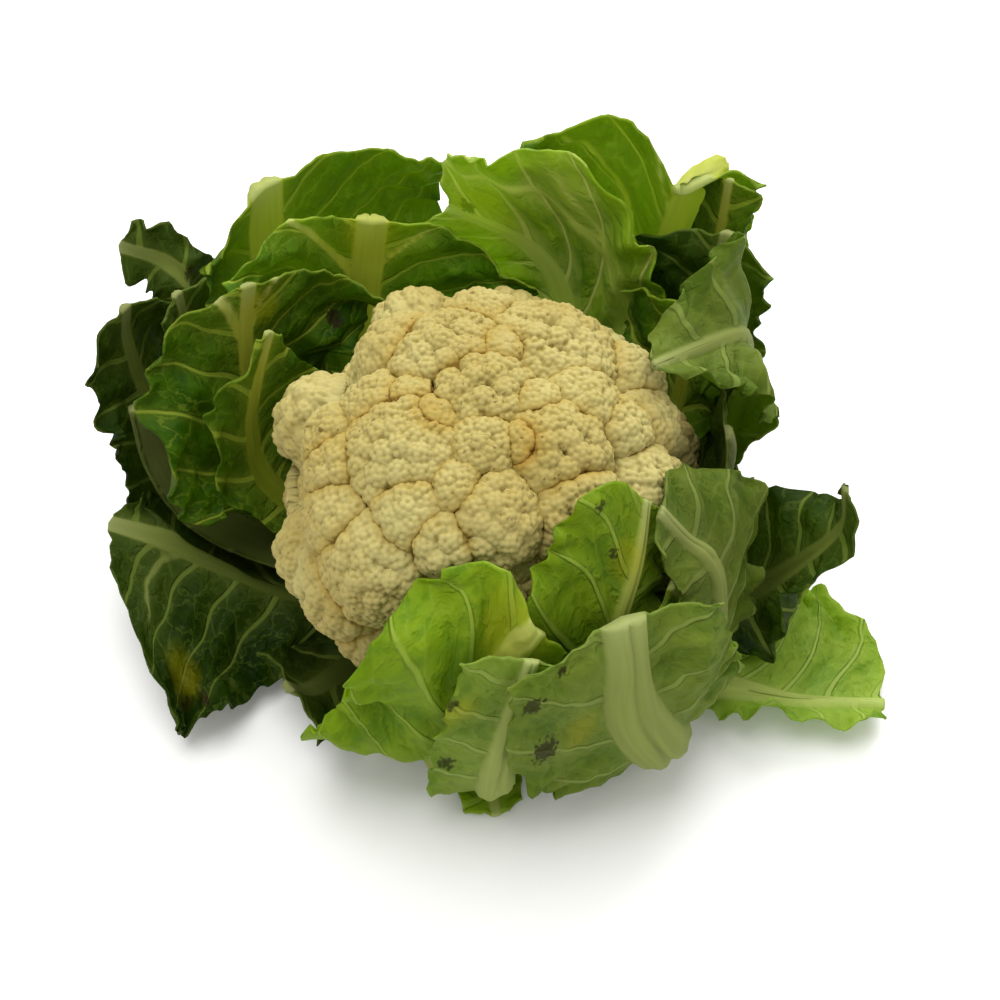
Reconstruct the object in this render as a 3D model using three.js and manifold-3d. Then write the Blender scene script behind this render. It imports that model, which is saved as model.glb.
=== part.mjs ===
// A trimmed head of cauliflower: a domed curd of florets on a short cut stem, wrapped in loose ribbed leaves.
// Millimetres, +Z up. The origin is the centre of the stem's flat cut face, on which the head stands.
import * as THREE from 'three';
import Module from 'manifold-3d';
import { mergeVertices } from 'three/addons/utils/BufferGeometryUtils.js';

// ---- driving dimensions --------------------------------------------------------------------------------

const STEM = { radius: 25, flare: 31, top: 50, sides: 28 };
const CURD = { centre: 80, radius: 85, above: 64, below: 54, lowest: 112, flat: 0.07, flatAt: -176 };
const JOINT_GAP = 0.3; // between the stem's top and the curd that sits on it
const FLORET_VALLEY = 0.91; // radius of the dimples between florets, as a share of the lobe's radius
const LOBE_ROUND = 1.22; // a lobe's sphere is this much wider than the half width that shows
const LARGE_LOBE = 16.5; // a lobe wider than this has florets of its own size, not larger ones
const BLADE = 0.9; // thickness of a leaf's blade
const LEAST_BLADE = 0.65; // its thickness in the tightest folds
const FOLD_COSINE = 0.1; // of the sharpest turn between two neighbouring facets of a leaf
const HUB = 50; // height on the axis from which the leaves are layered outwards
const LAYER_GAP = 2.4; // least distance, measured from the hub, between one leaf and the next one out
const SKIN_GAP = 0.8; // the same between a leaf and the curd or the stem
const FLOOR_GAP = 0.5; // the leaves stay this far above the surface that the stem stands on
const CLEAR_PASSES = 3; // how often the cells of a leaf's grid are eased and checked against the layers under it

const COLOURS = {
  curd: 0xded2a0,
  stem: 0xc3cc9a,
  sunlit: 0x7f9c34,
  green: 0x587f24,
  dark: 0x33501b,
  pale: 0x8ea463,
};

// ---- the curd's lobes ----------------------------------------------------------------------------------
// Angle down from the top, azimuth counted anticlockwise from +X, and the half width that shows.

const LOBES = [
  [21, 123, 24], [42, 37, 27], [11, -74, 20], [39, -169, 15], [26, -158, 12],
  [43, -45, 20], [32, -84, 12], [27, -124, 11], [44, -129, 24], [54, -83, 16],
  [59, -100, 11], [44, -97, 9], [25, -33, 9], [39, -11, 14], [52, -14, 11],
  [62, -1, 12], [58, -149, 14], [74, -121, 20], [88, -131, 18], [40, 140, 17],
  [60, 18, 15], [56, -166, 13], [67, -137, 15], [60, -52, 17], [54, -113, 13],
  [38, 88, 15], [102, -120, 17], [14, 50, 10], [34, -60, 9],
];
const FILL = { count: 56, half: 16, spacing: 0.8 }; // the lobes between and behind those

// ---- the leaves ----------------------------------------------------------------------------------------
// rib: [azimuth, distance from the axis, height] from the foot on the stem to the rib's cut end.
// half, deep: the rib's half width and depth, from foot to end.
// ccw, cw: the blade on the side of growing and of falling azimuth. Its lists are spaced evenly along the
// rib: width in mm, lift and curl (toward the head) in degrees and degrees per 10 mm. top is how far the
// end edge reaches past the rib's end, from the rib outwards. turn rolls the whole leaf about its rib.
// ruffle is the height of the waves along the blade's edges, waves their number, and crumple the depth of
// the blade's dents. rows and cells count the facets along the leaf and across each half of its blade.
// The leaves stand in order from the innermost to the outermost, and each is laid over those before it.

const LEAVES = [
  {
    name: 'leaf_front_inner', colour: 'sunlit', rows: 10, cells: 4,
    rib: [[-62, 28, 40], [-61, 64, 37], [-60, 86, 56], [-57, 86, 84], [-47, 79, 104], [-35, 70, 117]],
    half: [8, 2.5], deep: [5, 2.5],
    ccw: { width: [9, 13, 18, 28, 30, 20], curl: [0, 0, 4], top: [0, -2, -8] },
    cw: { width: [9, 13, 24, 38, 40, 32], curl: [0, 0, 4], top: [0, 4, -4] },
    ruffle: 3, waves: 3, crumple: 1.4,
  },
  {
    name: 'leaf_front_bud', colour: 'green', rows: 7, cells: 2,
    rib: [[-38, 28, 40], [-38, 62, 36], [-38, 90, 52], [-36, 95, 76], [-41, 88, 95]],
    half: [5.5, 3], deep: [4.5, 2.5],
    ccw: { width: [7.5, 9, 14, 16, 12], top: [0, -4] },
    cw: { width: [7.5, 9, 12, 14, 12], top: [0, -4] },
    ruffle: 2, waves: 2, crumple: 0.6,
  },
  {
    name: 'leaf_left_inner', colour: 'green', rows: 9, cells: 3,
    rib: [[166, 28, 40], [166, 64, 38], [166, 88, 56], [164, 92, 80], [161, 89, 102], [156, 84, 125]],
    half: [7, 2], deep: [4.5, 2], turn: -24,
    ccw: { width: [8, 10, 16, 21, 19, 5], lift: [0, 0, -10], top: [0, -2] },
    cw: { width: [8, 10, 14, 24, 34, 6], lift: [0, 0, -4], curl: [0, 0, 3], top: [0, -2] },
    ruffle: 3.5, waves: 4, crumple: 1.6,
  },
  {
    name: 'leaf_right_inner', colour: 'green', rows: 8, cells: 3,
    rib: [[32, 28, 40], [32, 64, 38], [33, 92, 58], [34, 99, 86], [33, 98, 118]],
    half: [7, 2.5], deep: [4.5, 2.5],
    ccw: { width: [8, 12, 22, 32, 38], top: [0, -6, -18] },
    cw: { width: [8, 12, 18, 20, 18], top: [0, 2, -6] },
    ruffle: 5, waves: 3, crumple: 2,
  },
  {
    name: 'leaf_left', colour: 'green', rows: 12, cells: 5,
    rib: [[149, 27, 32], [149, 66, 28], [151, 94, 52], [152, 103, 78], [149, 106, 104], [145, 107, 124]],
    half: [7, 3.5], deep: [5.5, 4, 3],
    ccw: { width: [8.5, 11, 26, 54, 50, 36], lift: [0, 0, 0, -10, -24, -34], curl: [0, 0, -1], top: [0, -6, -16] },
    cw: { width: [9, 14, 26, 40, 54, 62], lift: [0, 0, 6, 10], curl: [0, 0, 2, 4], top: [0, 2, -6] },
    ruffle: 6, waves: 4, crumple: 2.4,
  },
  {
    name: 'leaf_back_left_inner', colour: 'green', rows: 12, cells: 5,
    rib: [[112, 27, 36], [113, 66, 30], [115, 100, 42], [116, 115, 68], [114, 118, 92], [112, 117, 116]],
    half: [10, 7], deep: [6, 7, 6],
    ccw: { width: [11, 18, 40, 62, 72, 66], lift: [0, 0, 0, -8, -12], top: [0, 6, -18] },
    cw: { width: [11, 16, 30, 52, 70, 74], lift: [0, 0, 4, 8], curl: [0, 0, 2, 4], top: [0, 0, -10] },
    ruffle: 6, waves: 4, crumple: 2.4,
  },
  {
    name: 'leaf_left_curl', colour: 'dark', rows: 7, cells: 2,
    rib: [[144, 26, 28], [146, 76, 22], [150, 118, 46], [150, 134, 80], [150, 136, 114]],
    half: [6, 2.5], deep: [4, 2.5],
    ccw: { width: [8, 10, 12, 15, 15], curl: [0, 0, 10], top: [0, -4] },
    cw: { width: [8, 10, 12, 16, 18], curl: [0, 0, 10], top: [0, -4] },
    ruffle: 2, waves: 3, crumple: 1,
  },
  {
    name: 'leaf_back', colour: 'sunlit', rows: 12, cells: 4,
    rib: [[69, 27, 36], [69, 66, 30], [70, 102, 46], [72, 116, 72], [80, 121, 95], [96, 127, 110]],
    half: [10, 3], deep: [6, 5, 3],
    ccw: { width: [11, 16, 26, 38, 44, 40], lift: [0, 0, -6], top: [0, 6, 7] },
    cw: { width: [11, 18, 34, 54, 58, 44], lift: [0, 0, 0, 4], top: [0, 8, 0] },
    ruffle: 6, waves: 3, crumple: 2.4,
  },
  {
    name: 'leaf_front_left', colour: 'sunlit', rows: 12, cells: 5,
    rib: [[-100, 27, 28], [-100, 62, 21], [-98, 88, 28], [-93, 94, 54], [-88, 91, 82], [-77, 82, 104]],
    half: [10, 4], deep: [6, 7, 3.5],
    ccw: { width: [11, 13, 16, 24, 32, 28], top: [0, -4, -14] },
    cw: { width: [11, 22, 52, 46, 44, 36], lift: [0, -6, -8, 0], top: [0, 14, 0] },
    ruffle: 6, waves: 3, crumple: 2.4,
  },
  {
    name: 'leaf_right_low', colour: 'pale', rows: 9, cells: 3,
    rib: [[6, 27, 30], [6, 64, 22], [7, 91, 40], [7, 95, 68], [4, 94, 92], [0, 90, 108]],
    half: [9, 3], deep: [5, 4, 3],
    ccw: { width: [10, 14, 24, 32, 34, 26], top: [0, -4, -10] },
    cw: { width: [10, 14, 24, 30, 30, 26], top: [0, -4, -10] },
    ruffle: 3.5, waves: 3, crumple: 1.8,
  },
  {
    name: 'leaf_right', colour: 'pale', rows: 12, cells: 4,
    rib: [[20, 27, 28], [20, 66, 20], [20, 93, 38], [22, 102, 72], [24, 110, 102], [19, 100, 125], [4, 61, 136]],
    half: [9, 2.5], deep: [5, 4, 2.5],
    ccw: { width: [10, 12, 15, 24, 44, 46, 30, 10], lift: [0, 0, 0, -12, -34, -30, 0], top: [0, -3, -8] },
    cw: { width: [10, 12, 13, 18, 28, 34, 26, 10], lift: [0, 0, -6], top: [0, -3, -8] },
    ruffle: 5, waves: 3, crumple: 2.2,
  },
  {
    name: 'leaf_front_right', colour: 'pale', rows: 12, cells: 4,
    rib: [[-37, 27, 30], [-37, 64, 22], [-39, 98, 37], [-35, 104, 64], [-32, 94, 92], [-37, 75, 117]],
    half: [9, 2.5], deep: [5, 4, 2.5],
    ccw: { width: [10, 17, 33, 44, 44, 26], lift: [0, 0, -6, -10], top: [0, 2, -6] },
    cw: { width: [10, 14, 24, 26, 22, 12], top: [0, -2, -6] },
    ruffle: 5, waves: 4, crumple: 2.4,
  },
  {
    name: 'leaf_front_mid', colour: 'pale', rows: 10, cells: 3,
    rib: [[-85, 26, 20], [-85, 58, 15], [-86, 85, 18], [-86, 99, 42], [-83, 98, 74], [-79, 95, 103]],
    half: [6, 7, 2.5], deep: [5, 5, 2.5],
    ccw: { width: [7.5, 14, 24, 26, 26, 26], top: [0, -2, -4] },
    cw: { width: [7.5, 14, 22, 24, 24, 22], lift: [0, 0, 0, 6], top: [0, 0, -4] },
    ruffle: 4, waves: 4, crumple: 3,
  },
  {
    name: 'leaf_front', colour: 'pale', rows: 13, cells: 4,
    rib: [[-43, 26, 20], [-42, 64, 14], [-45, 97, 16], [-53, 109, 36], [-60, 105, 70], [-59, 93, 105]],
    half: [7, 12, 11, 9], deep: [6, 8, 6],
    ccw: { width: [8.5, 15, 34, 42, 42, 38], top: [0, -4, -8] },
    cw: { width: [8.5, 16, 34, 42, 46, 42], top: [0, -2, -10] },
    ruffle: 4, waves: 3, crumple: 2,
  },
  {
    name: 'leaf_right_curled', colour: 'dark', rows: 11, cells: 4,
    rib: [[34, 26, 21], [34, 70, 16], [38, 108, 42], [42, 126, 80], [43, 134, 124]],
    half: [3.5, 6, 3], deep: [4.5, 4, 3],
    ccw: { width: [4.8, 9, 22, 34, 36], lift: [0, 0, 0, 6], curl: [0, 0, 4, 12], top: [0, -4, -12] },
    cw: { width: [4.8, 9, 20, 28, 28], lift: [0, 0, 0], top: [0, -2, -8] },
    ruffle: 5, waves: 3, crumple: 2.2,
  },
  {
    name: 'leaf_back_torn', colour: 'green', rows: 8, cells: 2,
    rib: [[46, 26, 15], [45, 76, 11], [45, 122, 38], [47, 144, 82], [48, 149, 116], [48, 149, 136]],
    half: [4, 5, 2], deep: [4, 3, 2],
    ccw: { width: [5.5, 8, 11, 12, 14, 12], top: [0, -5] },
    cw: { width: [5.5, 8, 12, 12, 15, 14], top: [0, 2] },
    ruffle: 3, waves: 4, crumple: 1.2,
  },
  {
    name: 'leaf_back_right', colour: 'green', rows: 12, cells: 5,
    rib: [[62, 26, 16], [61, 72, 12], [57, 112, 32], [55, 128, 64], [54, 132, 98], [52, 131, 130]],
    half: [5, 9, 10, 8, 6], deep: [4, 7, 5],
    ccw: { width: [7, 17, 34, 54, 70, 70], top: [0, 26, 22, 4] },
    cw: { width: [7, 11, 15, 18, 22, 18], top: [0, -4] },
    ruffle: 6, waves: 3, crumple: 2.4,
  },
  {
    name: 'leaf_back_left', colour: 'green', rows: 12, cells: 5,
    rib: [[121, 26, 20], [124, 74, 15], [127, 122, 34], [128, 146, 66], [127, 150, 96], [126, 149, 125]],
    half: [5, 9, 10, 9, 8], deep: [5, 8, 6],
    ccw: { width: [7, 15, 28, 34, 34, 28], top: [0, -8, -22] },
    cw: { width: [7, 15, 36, 60, 76, 76], top: [0, 8, 2] },
    ruffle: 6, waves: 3, crumple: 2.4,
  },
  {
    name: 'leaf_left_low_inner', colour: 'dark', rows: 6, cells: 2,
    rib: [[-146, 26, 14], [-146, 56, 10], [-142, 82, 16], [-140, 93, 32]],
    half: [7, 3], deep: [4, 3],
    ccw: { width: [9, 14, 24, 24], top: [0, -6] },
    cw: { width: [9, 14, 22, 22], top: [0, -6] },
    ruffle: 3, waves: 2, crumple: 2,
  },
  {
    name: 'leaf_left_stub', colour: 'pale', rows: 6, cells: 1,
    rib: [[172, 26, 26], [171, 74, 20], [169, 116, 32], [166, 134, 54], [163, 140, 80]],
    half: [7, 9, 7], deep: [4.5, 6, 5],
    ccw: { width: [9, 9, 9, 9, 8] },
    cw: { width: [9, 9, 9, 9, 8] },
    ruffle: 0, waves: 1, crumple: 0,
  },
  {
    name: 'leaf_left_low', colour: 'dark', rows: 12, cells: 5,
    rib: [[186, 26, 20], [184, 66, 15], [180, 100, 28], [178, 128, 40], [177, 149, 46]],
    half: [4.5, 7, 3.5], deep: [5, 5, 3],
    ccw: { width: [6, 11, 34, 58, 70, 74], lift: [0, -8, -20, -26, -28], top: [0, -8, -22, -38, -54] },
    cw: { width: [6, 12, 20, 24, 22], lift: [0, 6, 12, 18], top: [0, -4, -12] },
    ruffle: 5, waves: 3, crumple: 2.4,
  },
  {
    name: 'leaf_left_outer', colour: 'dark', rows: 10, cells: 4,
    rib: [[157, 26, 10], [158, 76, 7], [158, 124, 30], [157, 148, 64], [156, 154, 92], [155, 152, 110]],
    half: [4, 6, 3], deep: [4, 5, 3],
    ccw: { width: [5.5, 10, 22, 29, 32, 24], top: [0, -6, -14] },
    cw: { width: [5.5, 9, 22, 28, 30, 26], top: [0, -2, -8] },
    ruffle: 6, waves: 4, crumple: 2.6,
  },
  {
    name: 'leaf_back_left_outer', colour: 'dark', rows: 9, cells: 3,
    rib: [[138, 26, 10], [140, 76, 7], [142, 124, 38], [140, 146, 74], [141, 164, 97], [144, 186, 104]],
    half: [3.5, 5, 3], deep: [3.5, 4, 3],
    ccw: { width: [4.8, 7, 13, 18, 20, 12], top: [0, -3, -6] },
    cw: { width: [4.8, 7, 13, 18, 18, 12], top: [0, -2, -4] },
    ruffle: 5, waves: 3, crumple: 2.4,
  },
  {
    name: 'leaf_far_right', colour: 'dark', rows: 11, cells: 4,
    rib: [[-6, 26, 18], [-6, 72, 14], [-6, 106, 24], [-7, 124, 46], [-7, 136, 72], [-5, 134, 92]],
    half: [5, 6, 2.5], deep: [4.5, 4, 2.5],
    ccw: { width: [7, 13, 42, 46, 32, 10], lift: [0, 10, 24, 16, 0], top: [0, -4, -10] },
    cw: { width: [7, 12, 26, 32, 26, 8], lift: [0, 4, 8, 4], top: [0, -4, -10] },
    ruffle: 5, waves: 3, crumple: 2.4,
  },
  {
    name: 'leaf_fallen', colour: 'pale', rows: 11, cells: 4,
    rib: [[-25, 26, 6], [-25, 66, 5.5], [-26, 106, 11], [-24, 134, 10], [-19, 168, 9]],
    half: [4, 6, 2.5], deep: [3, 5, 3], turn: 180,
    ccw: { width: [5.5, 9, 12, 14, 12], lift: [0, 6], top: [0, -2] },
    cw: { width: [5.5, 10, 36, 70, 58], lift: [0, -16, -36, -44, -34], top: [0, 4, -14] },
    ruffle: 5, waves: 3, crumple: 1.8,
  },
  {
    name: 'leaf_front_flap', colour: 'dark', rows: 5, cells: 1,
    rib: [[-88, 26, 6], [-88, 58, 3.8], [-87, 82, 3.2], [-86, 99, 3]],
    half: [4.5, 2], deep: [2.4, 1.6],
    ccw: { width: [6, 9, 14, 11], top: [0, -4] },
    cw: { width: [6, 9, 14, 12], top: [0, -3] },
    ruffle: 0.6, waves: 2, crumple: 0.3,
  },
];

// ---- small helpers -------------------------------------------------------------------------------------

const TAU = 2 * Math.PI;
const radians = THREE.MathUtils.degToRad;
const onAxis = (height) => new THREE.Vector3(0, 0, height);

/** A point from its azimuth in degrees, its distance from the axis and its height. */
function around([azimuth, distance, height]) {
  const a = radians(azimuth);
  return new THREE.Vector3(distance * Math.cos(a), distance * Math.sin(a), height);
}

/** A repeatable number from 0 to 1 for any whole number. */
function chance(n) {
  const x = Math.sin(n * 12.9898 + 4.1414) * 43758.5453;
  return x - Math.floor(x);
}

/** The value at t (0 to 1) of a smooth line through evenly spaced values. */
function along(values, t) {
  const last = values.length - 1;
  if (last < 1) return last === 0 ? values[0] : 0;
  const x = THREE.MathUtils.clamp(t, 0, 1) * last;
  const i = Math.min(Math.floor(x), last - 1);
  const f = x - i;
  const at = (k) => values[Math.max(0, Math.min(last, k))];
  const m0 = (at(i + 1) - at(i - 1)) / 2;
  const m1 = (at(i + 2) - at(i)) / 2;
  const f2 = f * f;
  const f3 = f2 * f;
  return (2 * f3 - 3 * f2 + 1) * at(i) + (f3 - 2 * f2 + f) * m0 + (3 * f2 - 2 * f3) * at(i + 1) + (f3 - f2) * m1;
}

/** The larger of a and b, rounded off over the width w where they meet. */
function softMax(a, b, w) {
  const h = Math.max(w - Math.abs(a - b), 0) / w;
  return Math.max(a, b) + (h * h * w) / 4;
}

function meshGeometry(positions, indices) {
  const geometry = new THREE.BufferGeometry();
  geometry.setAttribute('position', new THREE.Float32BufferAttribute(positions, 3));
  geometry.setIndex(indices);
  geometry.computeVertexNormals();
  return geometry;
}

function namedMesh(name, geometry, colour, roughness) {
  const material = new THREE.MeshStandardMaterial({ color: COLOURS[colour], roughness, metalness: 0 });
  const mesh = new THREE.Mesh(geometry, material);
  mesh.name = name;
  return mesh;
}

// ---- solids for joining --------------------------------------------------------------------------------

const wasm = await Module();
wasm.setup();

function toSolid(geometry) {
  const bare = geometry.clone();
  bare.deleteAttribute('normal');
  bare.deleteAttribute('uv');
  const merged = mergeVertices(bare, 1e-4);
  const vertProperties = new Float32Array(merged.attributes.position.array);
  const triVerts = new Uint32Array(merged.index.array);
  return new wasm.Manifold(new wasm.Mesh({ numProp: 3, vertProperties, triVerts }));
}

function fromSolid(solid) {
  const mesh = solid.getMesh();
  return meshGeometry(Array.from(mesh.vertProperties), Array.from(mesh.triVerts));
}

// ---- stem ----------------------------------------------------------------------------------------------

function makeStem() {
  const { radius, flare, top, sides } = STEM;
  const profile = [
    [0, 0], [radius - 2, 0], [radius - 0.6, 0.8], [radius, 4], [radius - 1, 14],
    [radius, 28], [radius + 1, 43], [flare, top - JOINT_GAP], [0, top - JOINT_GAP],
  ];
  const lathe = new THREE.LatheGeometry(profile.map(([x, y]) => new THREE.Vector2(x, y)), sides);
  lathe.rotateX(Math.PI / 2);
  return fromSolid(toSolid(lathe));
}

// ---- curd ----------------------------------------------------------------------------------------------

/** How far the dome's surface lies from its centre, in the direction at this angle down from the top. */
function domeReach(fromTop) {
  const a = radians(fromTop);
  const tall = fromTop < 90 ? CURD.above : CURD.below;
  return 1 / Math.hypot(Math.sin(a) / CURD.radius, Math.cos(a) / tall);
}

function makeLobe(fromTop, azimuth, half) {
  const radius = half * LOBE_ROUND;
  const flat = CURD.flat * Math.max(0, Math.cos(radians(azimuth - CURD.flatAt))) ** 3;
  const reach = domeReach(fromTop) * (1 - flat) + half * 0.1 - radius;
  const a = radians(fromTop);
  const centre = around([azimuth, reach * Math.sin(a), CURD.centre + reach * Math.cos(a)]);
  return { centre, radius, half };
}

/** The lobes placed by hand, then evenly spread ones wherever those leave room. */
function allLobes() {
  const lobes = LOBES.map(([fromTop, azimuth, half]) => makeLobe(fromTop, azimuth, half));
  const golden = 180 * (3 - Math.sqrt(5));
  const lowest = Math.cos(radians(CURD.lowest));
  for (let i = 0; i < FILL.count; i += 1) {
    const up = 1 - ((i + 0.5) / FILL.count) * (1 - lowest);
    const lobe = makeLobe(THREE.MathUtils.radToDeg(Math.acos(up)), i * golden, FILL.half);
    const free = lobes.every((o) => o.centre.distanceTo(lobe.centre) > FILL.spacing * (o.half + lobe.half));
    if (free) lobes.push(lobe);
  }
  return lobes;
}

/** A ball covered in florets: each corner of an icosphere is a floret, with a dimple inside each face. */
function makeFlorets(lobe, seed) {
  const detail = lobe.half > LARGE_LOBE ? 1 : 0;
  const ball = new THREE.IcosahedronGeometry(1, detail);
  ball.deleteAttribute('normal');
  ball.deleteAttribute('uv');
  const merged = mergeVertices(ball, 1e-4);
  const corners = merged.attributes.position;
  const turn = new THREE.Euler(chance(seed) * TAU, chance(seed + 0.3) * TAU, chance(seed + 0.6) * TAU);
  const positions = [];
  const indices = [];
  const push = (point) => positions.push(point.x, point.y, point.z);
  const place = (point, share) => {
    const outward = point.clone().normalize().applyEuler(turn);
    push(outward.multiplyScalar(lobe.radius * share).add(lobe.centre));
  };
  for (let i = 0; i < corners.count; i += 1) {
    place(new THREE.Vector3().fromBufferAttribute(corners, i), 0.98 + 0.05 * chance(seed * 100 + i));
  }
  for (let f = 0; f < merged.index.count; f += 3) {
    const [a, b, c] = [0, 1, 2].map((k) => merged.index.getX(f + k));
    const middle = new THREE.Vector3();
    for (const k of [a, b, c]) middle.add(new THREE.Vector3().fromBufferAttribute(corners, k));
    const dimple = positions.length / 3;
    place(middle, FLORET_VALLEY);
    indices.push(a, b, dimple, b, c, dimple, c, a, dimple);
  }
  return meshGeometry(positions, indices);
}

/** The branching core that carries the florets, narrowing down to the stem. */
function makeCore() {
  const outline = [[0, STEM.top], [STEM.flare, STEM.top], [46, 55], [60, 62], [70, 72]];
  const steps = 7;
  for (let i = 0; i <= steps; i += 1) {
    const a = (i / steps) * (Math.PI / 2);
    const across = (CURD.radius - 14) * Math.cos(a);
    outline.push([i === steps ? 0 : across, CURD.centre + (CURD.above - 14) * Math.sin(a)]);
  }
  const lathe = new THREE.LatheGeometry(outline.map(([x, y]) => new THREE.Vector2(x, y)), 20);
  lathe.rotateX(Math.PI / 2);
  return lathe;
}

function makeCurd(lobes) {
  const solids = lobes.map((lobe, i) => toSolid(makeFlorets(lobe, i + 1)));
  const joined = solids.reduce((whole, solid) => whole.add(solid), toSolid(makeCore()));
  const shells = joined.decompose().sort((a, b) => b.volume() - a.volume());
  return fromSolid(shells[0]); // the outside only: what the lobes seal between them is filled
}

// ---- layering ------------------------------------------------------------------------------------------

const CELL = 3; // degrees of azimuth and of angle from the top that each cell of the layer map spans
const COLUMNS = 360 / CELL;
const RINGS = 180 / CELL;

/** How far from the hub the leaves laid so far reach, in each direction. */
class LayerMap {
  constructor(lobes) {
    this.lobes = lobes;
    this.reach = new Float64Array(COLUMNS * RINGS);
  }

  static index(ring, column) {
    const r = Math.max(0, Math.min(RINGS - 1, ring));
    return r * COLUMNS + ((column % COLUMNS) + COLUMNS) % COLUMNS;
  }

  /** The distance from the hub to the far side of the curd or the stem along a unit direction. */
  skin(direction) {
    let far = 0;
    for (const { centre, radius } of this.lobes) {
      const offset = centre.clone().sub(onAxis(HUB));
      const middle = offset.dot(direction);
      const spare = (radius + SKIN_GAP) ** 2 - (offset.lengthSq() - middle * middle);
      if (spare > 0) far = Math.max(far, middle + Math.sqrt(spare));
    }
    if (direction.z < 0) {
      const sideways = Math.hypot(direction.x, direction.y);
      far = Math.max(far, Math.min((STEM.radius + 1 + SKIN_GAP) / sideways, HUB / -direction.z));
    }
    return far;
  }

  /** The distance from the hub that a point in this direction must keep. */
  least(direction) {
    const column = THREE.MathUtils.radToDeg(Math.atan2(direction.y, direction.x)) / CELL - 0.5;
    const ring = THREE.MathUtils.radToDeg(Math.acos(direction.z)) / CELL - 0.5;
    const c = Math.floor(column);
    const r = Math.floor(ring);
    const u = column - c;
    const v = ring - r;
    const at = (dr, dc) => this.reach[LayerMap.index(r + dr, c + dc)];
    const near = at(0, 0) * (1 - u) + at(0, 1) * u;
    const next = at(1, 0) * (1 - u) + at(1, 1) * u;
    const leaves = near * (1 - v) + next * v;
    return Math.max(this.skin(direction), leaves > 0 ? leaves + LAYER_GAP : 0);
  }

  /** Marks a leaf's points, spread by one cell and smoothed, as taken. */
  add(points) {
    const raw = new Float64Array(COLUMNS * RINGS);
    for (const point of points) {
      const offset = point.clone().sub(onAxis(HUB));
      const far = offset.length();
      const column = Math.floor(THREE.MathUtils.radToDeg(Math.atan2(offset.y, offset.x)) / CELL);
      const ring = Math.floor(THREE.MathUtils.radToDeg(Math.acos(offset.z / far)) / CELL);
      const i = LayerMap.index(ring, column);
      raw[i] = Math.max(raw[i], far);
    }
    const wide = LayerMap.neighbours(raw, (list) => Math.max(...list));
    const smooth = LayerMap.neighbours(wide, (list) => list.reduce((a, b) => a + b) / list.length);
    for (let i = 0; i < raw.length; i += 1) {
      const value = wide[i] > 0 ? Math.max(smooth[i], raw[i]) : smooth[i];
      this.reach[i] = Math.max(this.reach[i], value);
    }
  }

  static neighbours(values, combine) {
    const result = new Float64Array(values.length);
    for (let r = 0; r < RINGS; r += 1) {
      for (let c = 0; c < COLUMNS; c += 1) {
        const list = [];
        for (let dr = -1; dr <= 1; dr += 1) {
          for (let dc = -1; dc <= 1; dc += 1) list.push(values[LayerMap.index(r + dr, c + dc)]);
        }
        result[r * COLUMNS + c] = combine(list);
      }
    }
    return result;
  }
}

// ---- leaves --------------------------------------------------------------------------------------------

/** The point at distance y along an arc that starts at angle a and turns by k a unit length. */
function arc(a, k, y) {
  if (Math.abs(k) < 1e-5) return [y * Math.cos(a), y * Math.sin(a)];
  return [(Math.sin(a + k * y) - Math.sin(a)) / k, (Math.cos(a) - Math.cos(a + k * y)) / k];
}

/** The surface that a leaf's inner face follows, before it is laid over the others. */
class LeafShape {
  constructor(leaf, number) {
    this.leaf = leaf;
    this.number = number;
    this.curve = new THREE.CatmullRomCurve3(leaf.rib.map(around), false, 'catmullrom', 0.5);
    this.length = this.curve.getLength();
  }

  /** The rib's point, its direction, the direction of the inner face and the one across. */
  frame(s) {
    const t = Math.min(s, 1);
    const point = this.curve.getPointAt(t);
    const forward = this.curve.getTangentAt(t);
    point.addScaledVector(forward, (s - t) * this.length);
    const inward = onAxis(CURD.centre).sub(point);
    inward.addScaledVector(forward, -inward.dot(forward)).normalize();
    inward.applyAxisAngle(forward, radians(this.leaf.turn ?? 0));
    const across = inward.clone().cross(forward);
    return { point, forward, inward, across };
  }

  ribHalf(s) {
    return along(this.leaf.half, s);
  }

  width(s, side) {
    return Math.max(along(side.width, s), this.ribHalf(s) + 1.2);
  }

  /** Slow dents and bulges of the blade, in mm. */
  crumple(x, y) {
    let sum = 0;
    for (let k = 1; k <= 4; k += 1) {
      const wave = TAU / (22 + 14 * k);
      const heading = TAU * chance(this.number * 17 + k);
      const phase = TAU * chance(this.number * 31 + k + 9);
      sum += Math.sin(wave * (x * Math.cos(heading) + y * Math.sin(heading)) + phase);
    }
    return (sum / 2) * this.leaf.crumple;
  }

  /** The inner face's point at s along the rib and y mm across, on the side with this sign. */
  point(s, y, sign) {
    const side = sign > 0 ? this.leaf.ccw : this.leaf.cw;
    const width = this.width(s, side);
    const out = width > 0 ? y / width : 0;
    const reach = along(side.top ?? [0], out) * s * s;
    const { point, forward, inward, across } = this.frame(s + reach / this.length);
    const round = Math.hypot(point.x, point.y);
    const wrap = Math.max(0, forward.z) / Math.max(round, 40);
    const lift = radians(along(side.lift ?? [0], s));
    const curl = radians(along(side.curl ?? [0], s)) / 10 + wrap;
    const [over, up] = arc(lift, curl, y);
    const angle = lift + curl * y;
    point.addScaledVector(across, sign * over).addScaledVector(inward, up);
    const { ruffle, waves } = this.leaf;
    const phase = TAU * chance(this.number * 7 + sign);
    const edge = ruffle * out * out * Math.sin(TAU * waves * s + phase);
    const dent = this.crumple(s * this.length, sign * y) * Math.min(1, out * 1.5) * Math.min(1, s * 2);
    const normal = inward.multiplyScalar(Math.cos(angle)).addScaledVector(across, -sign * Math.sin(angle));
    return point.addScaledVector(normal, edge + dent);
  }

  /** The leaf's thickness at s and y: the blade's, and the rib's rounded back. */
  thickness(s, y) {
    const across = y / this.ribHalf(s);
    if (across >= 1) return BLADE;
    return BLADE + (along(this.leaf.deep, s) - BLADE) * Math.sqrt(1 - across * across);
  }
}

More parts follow.
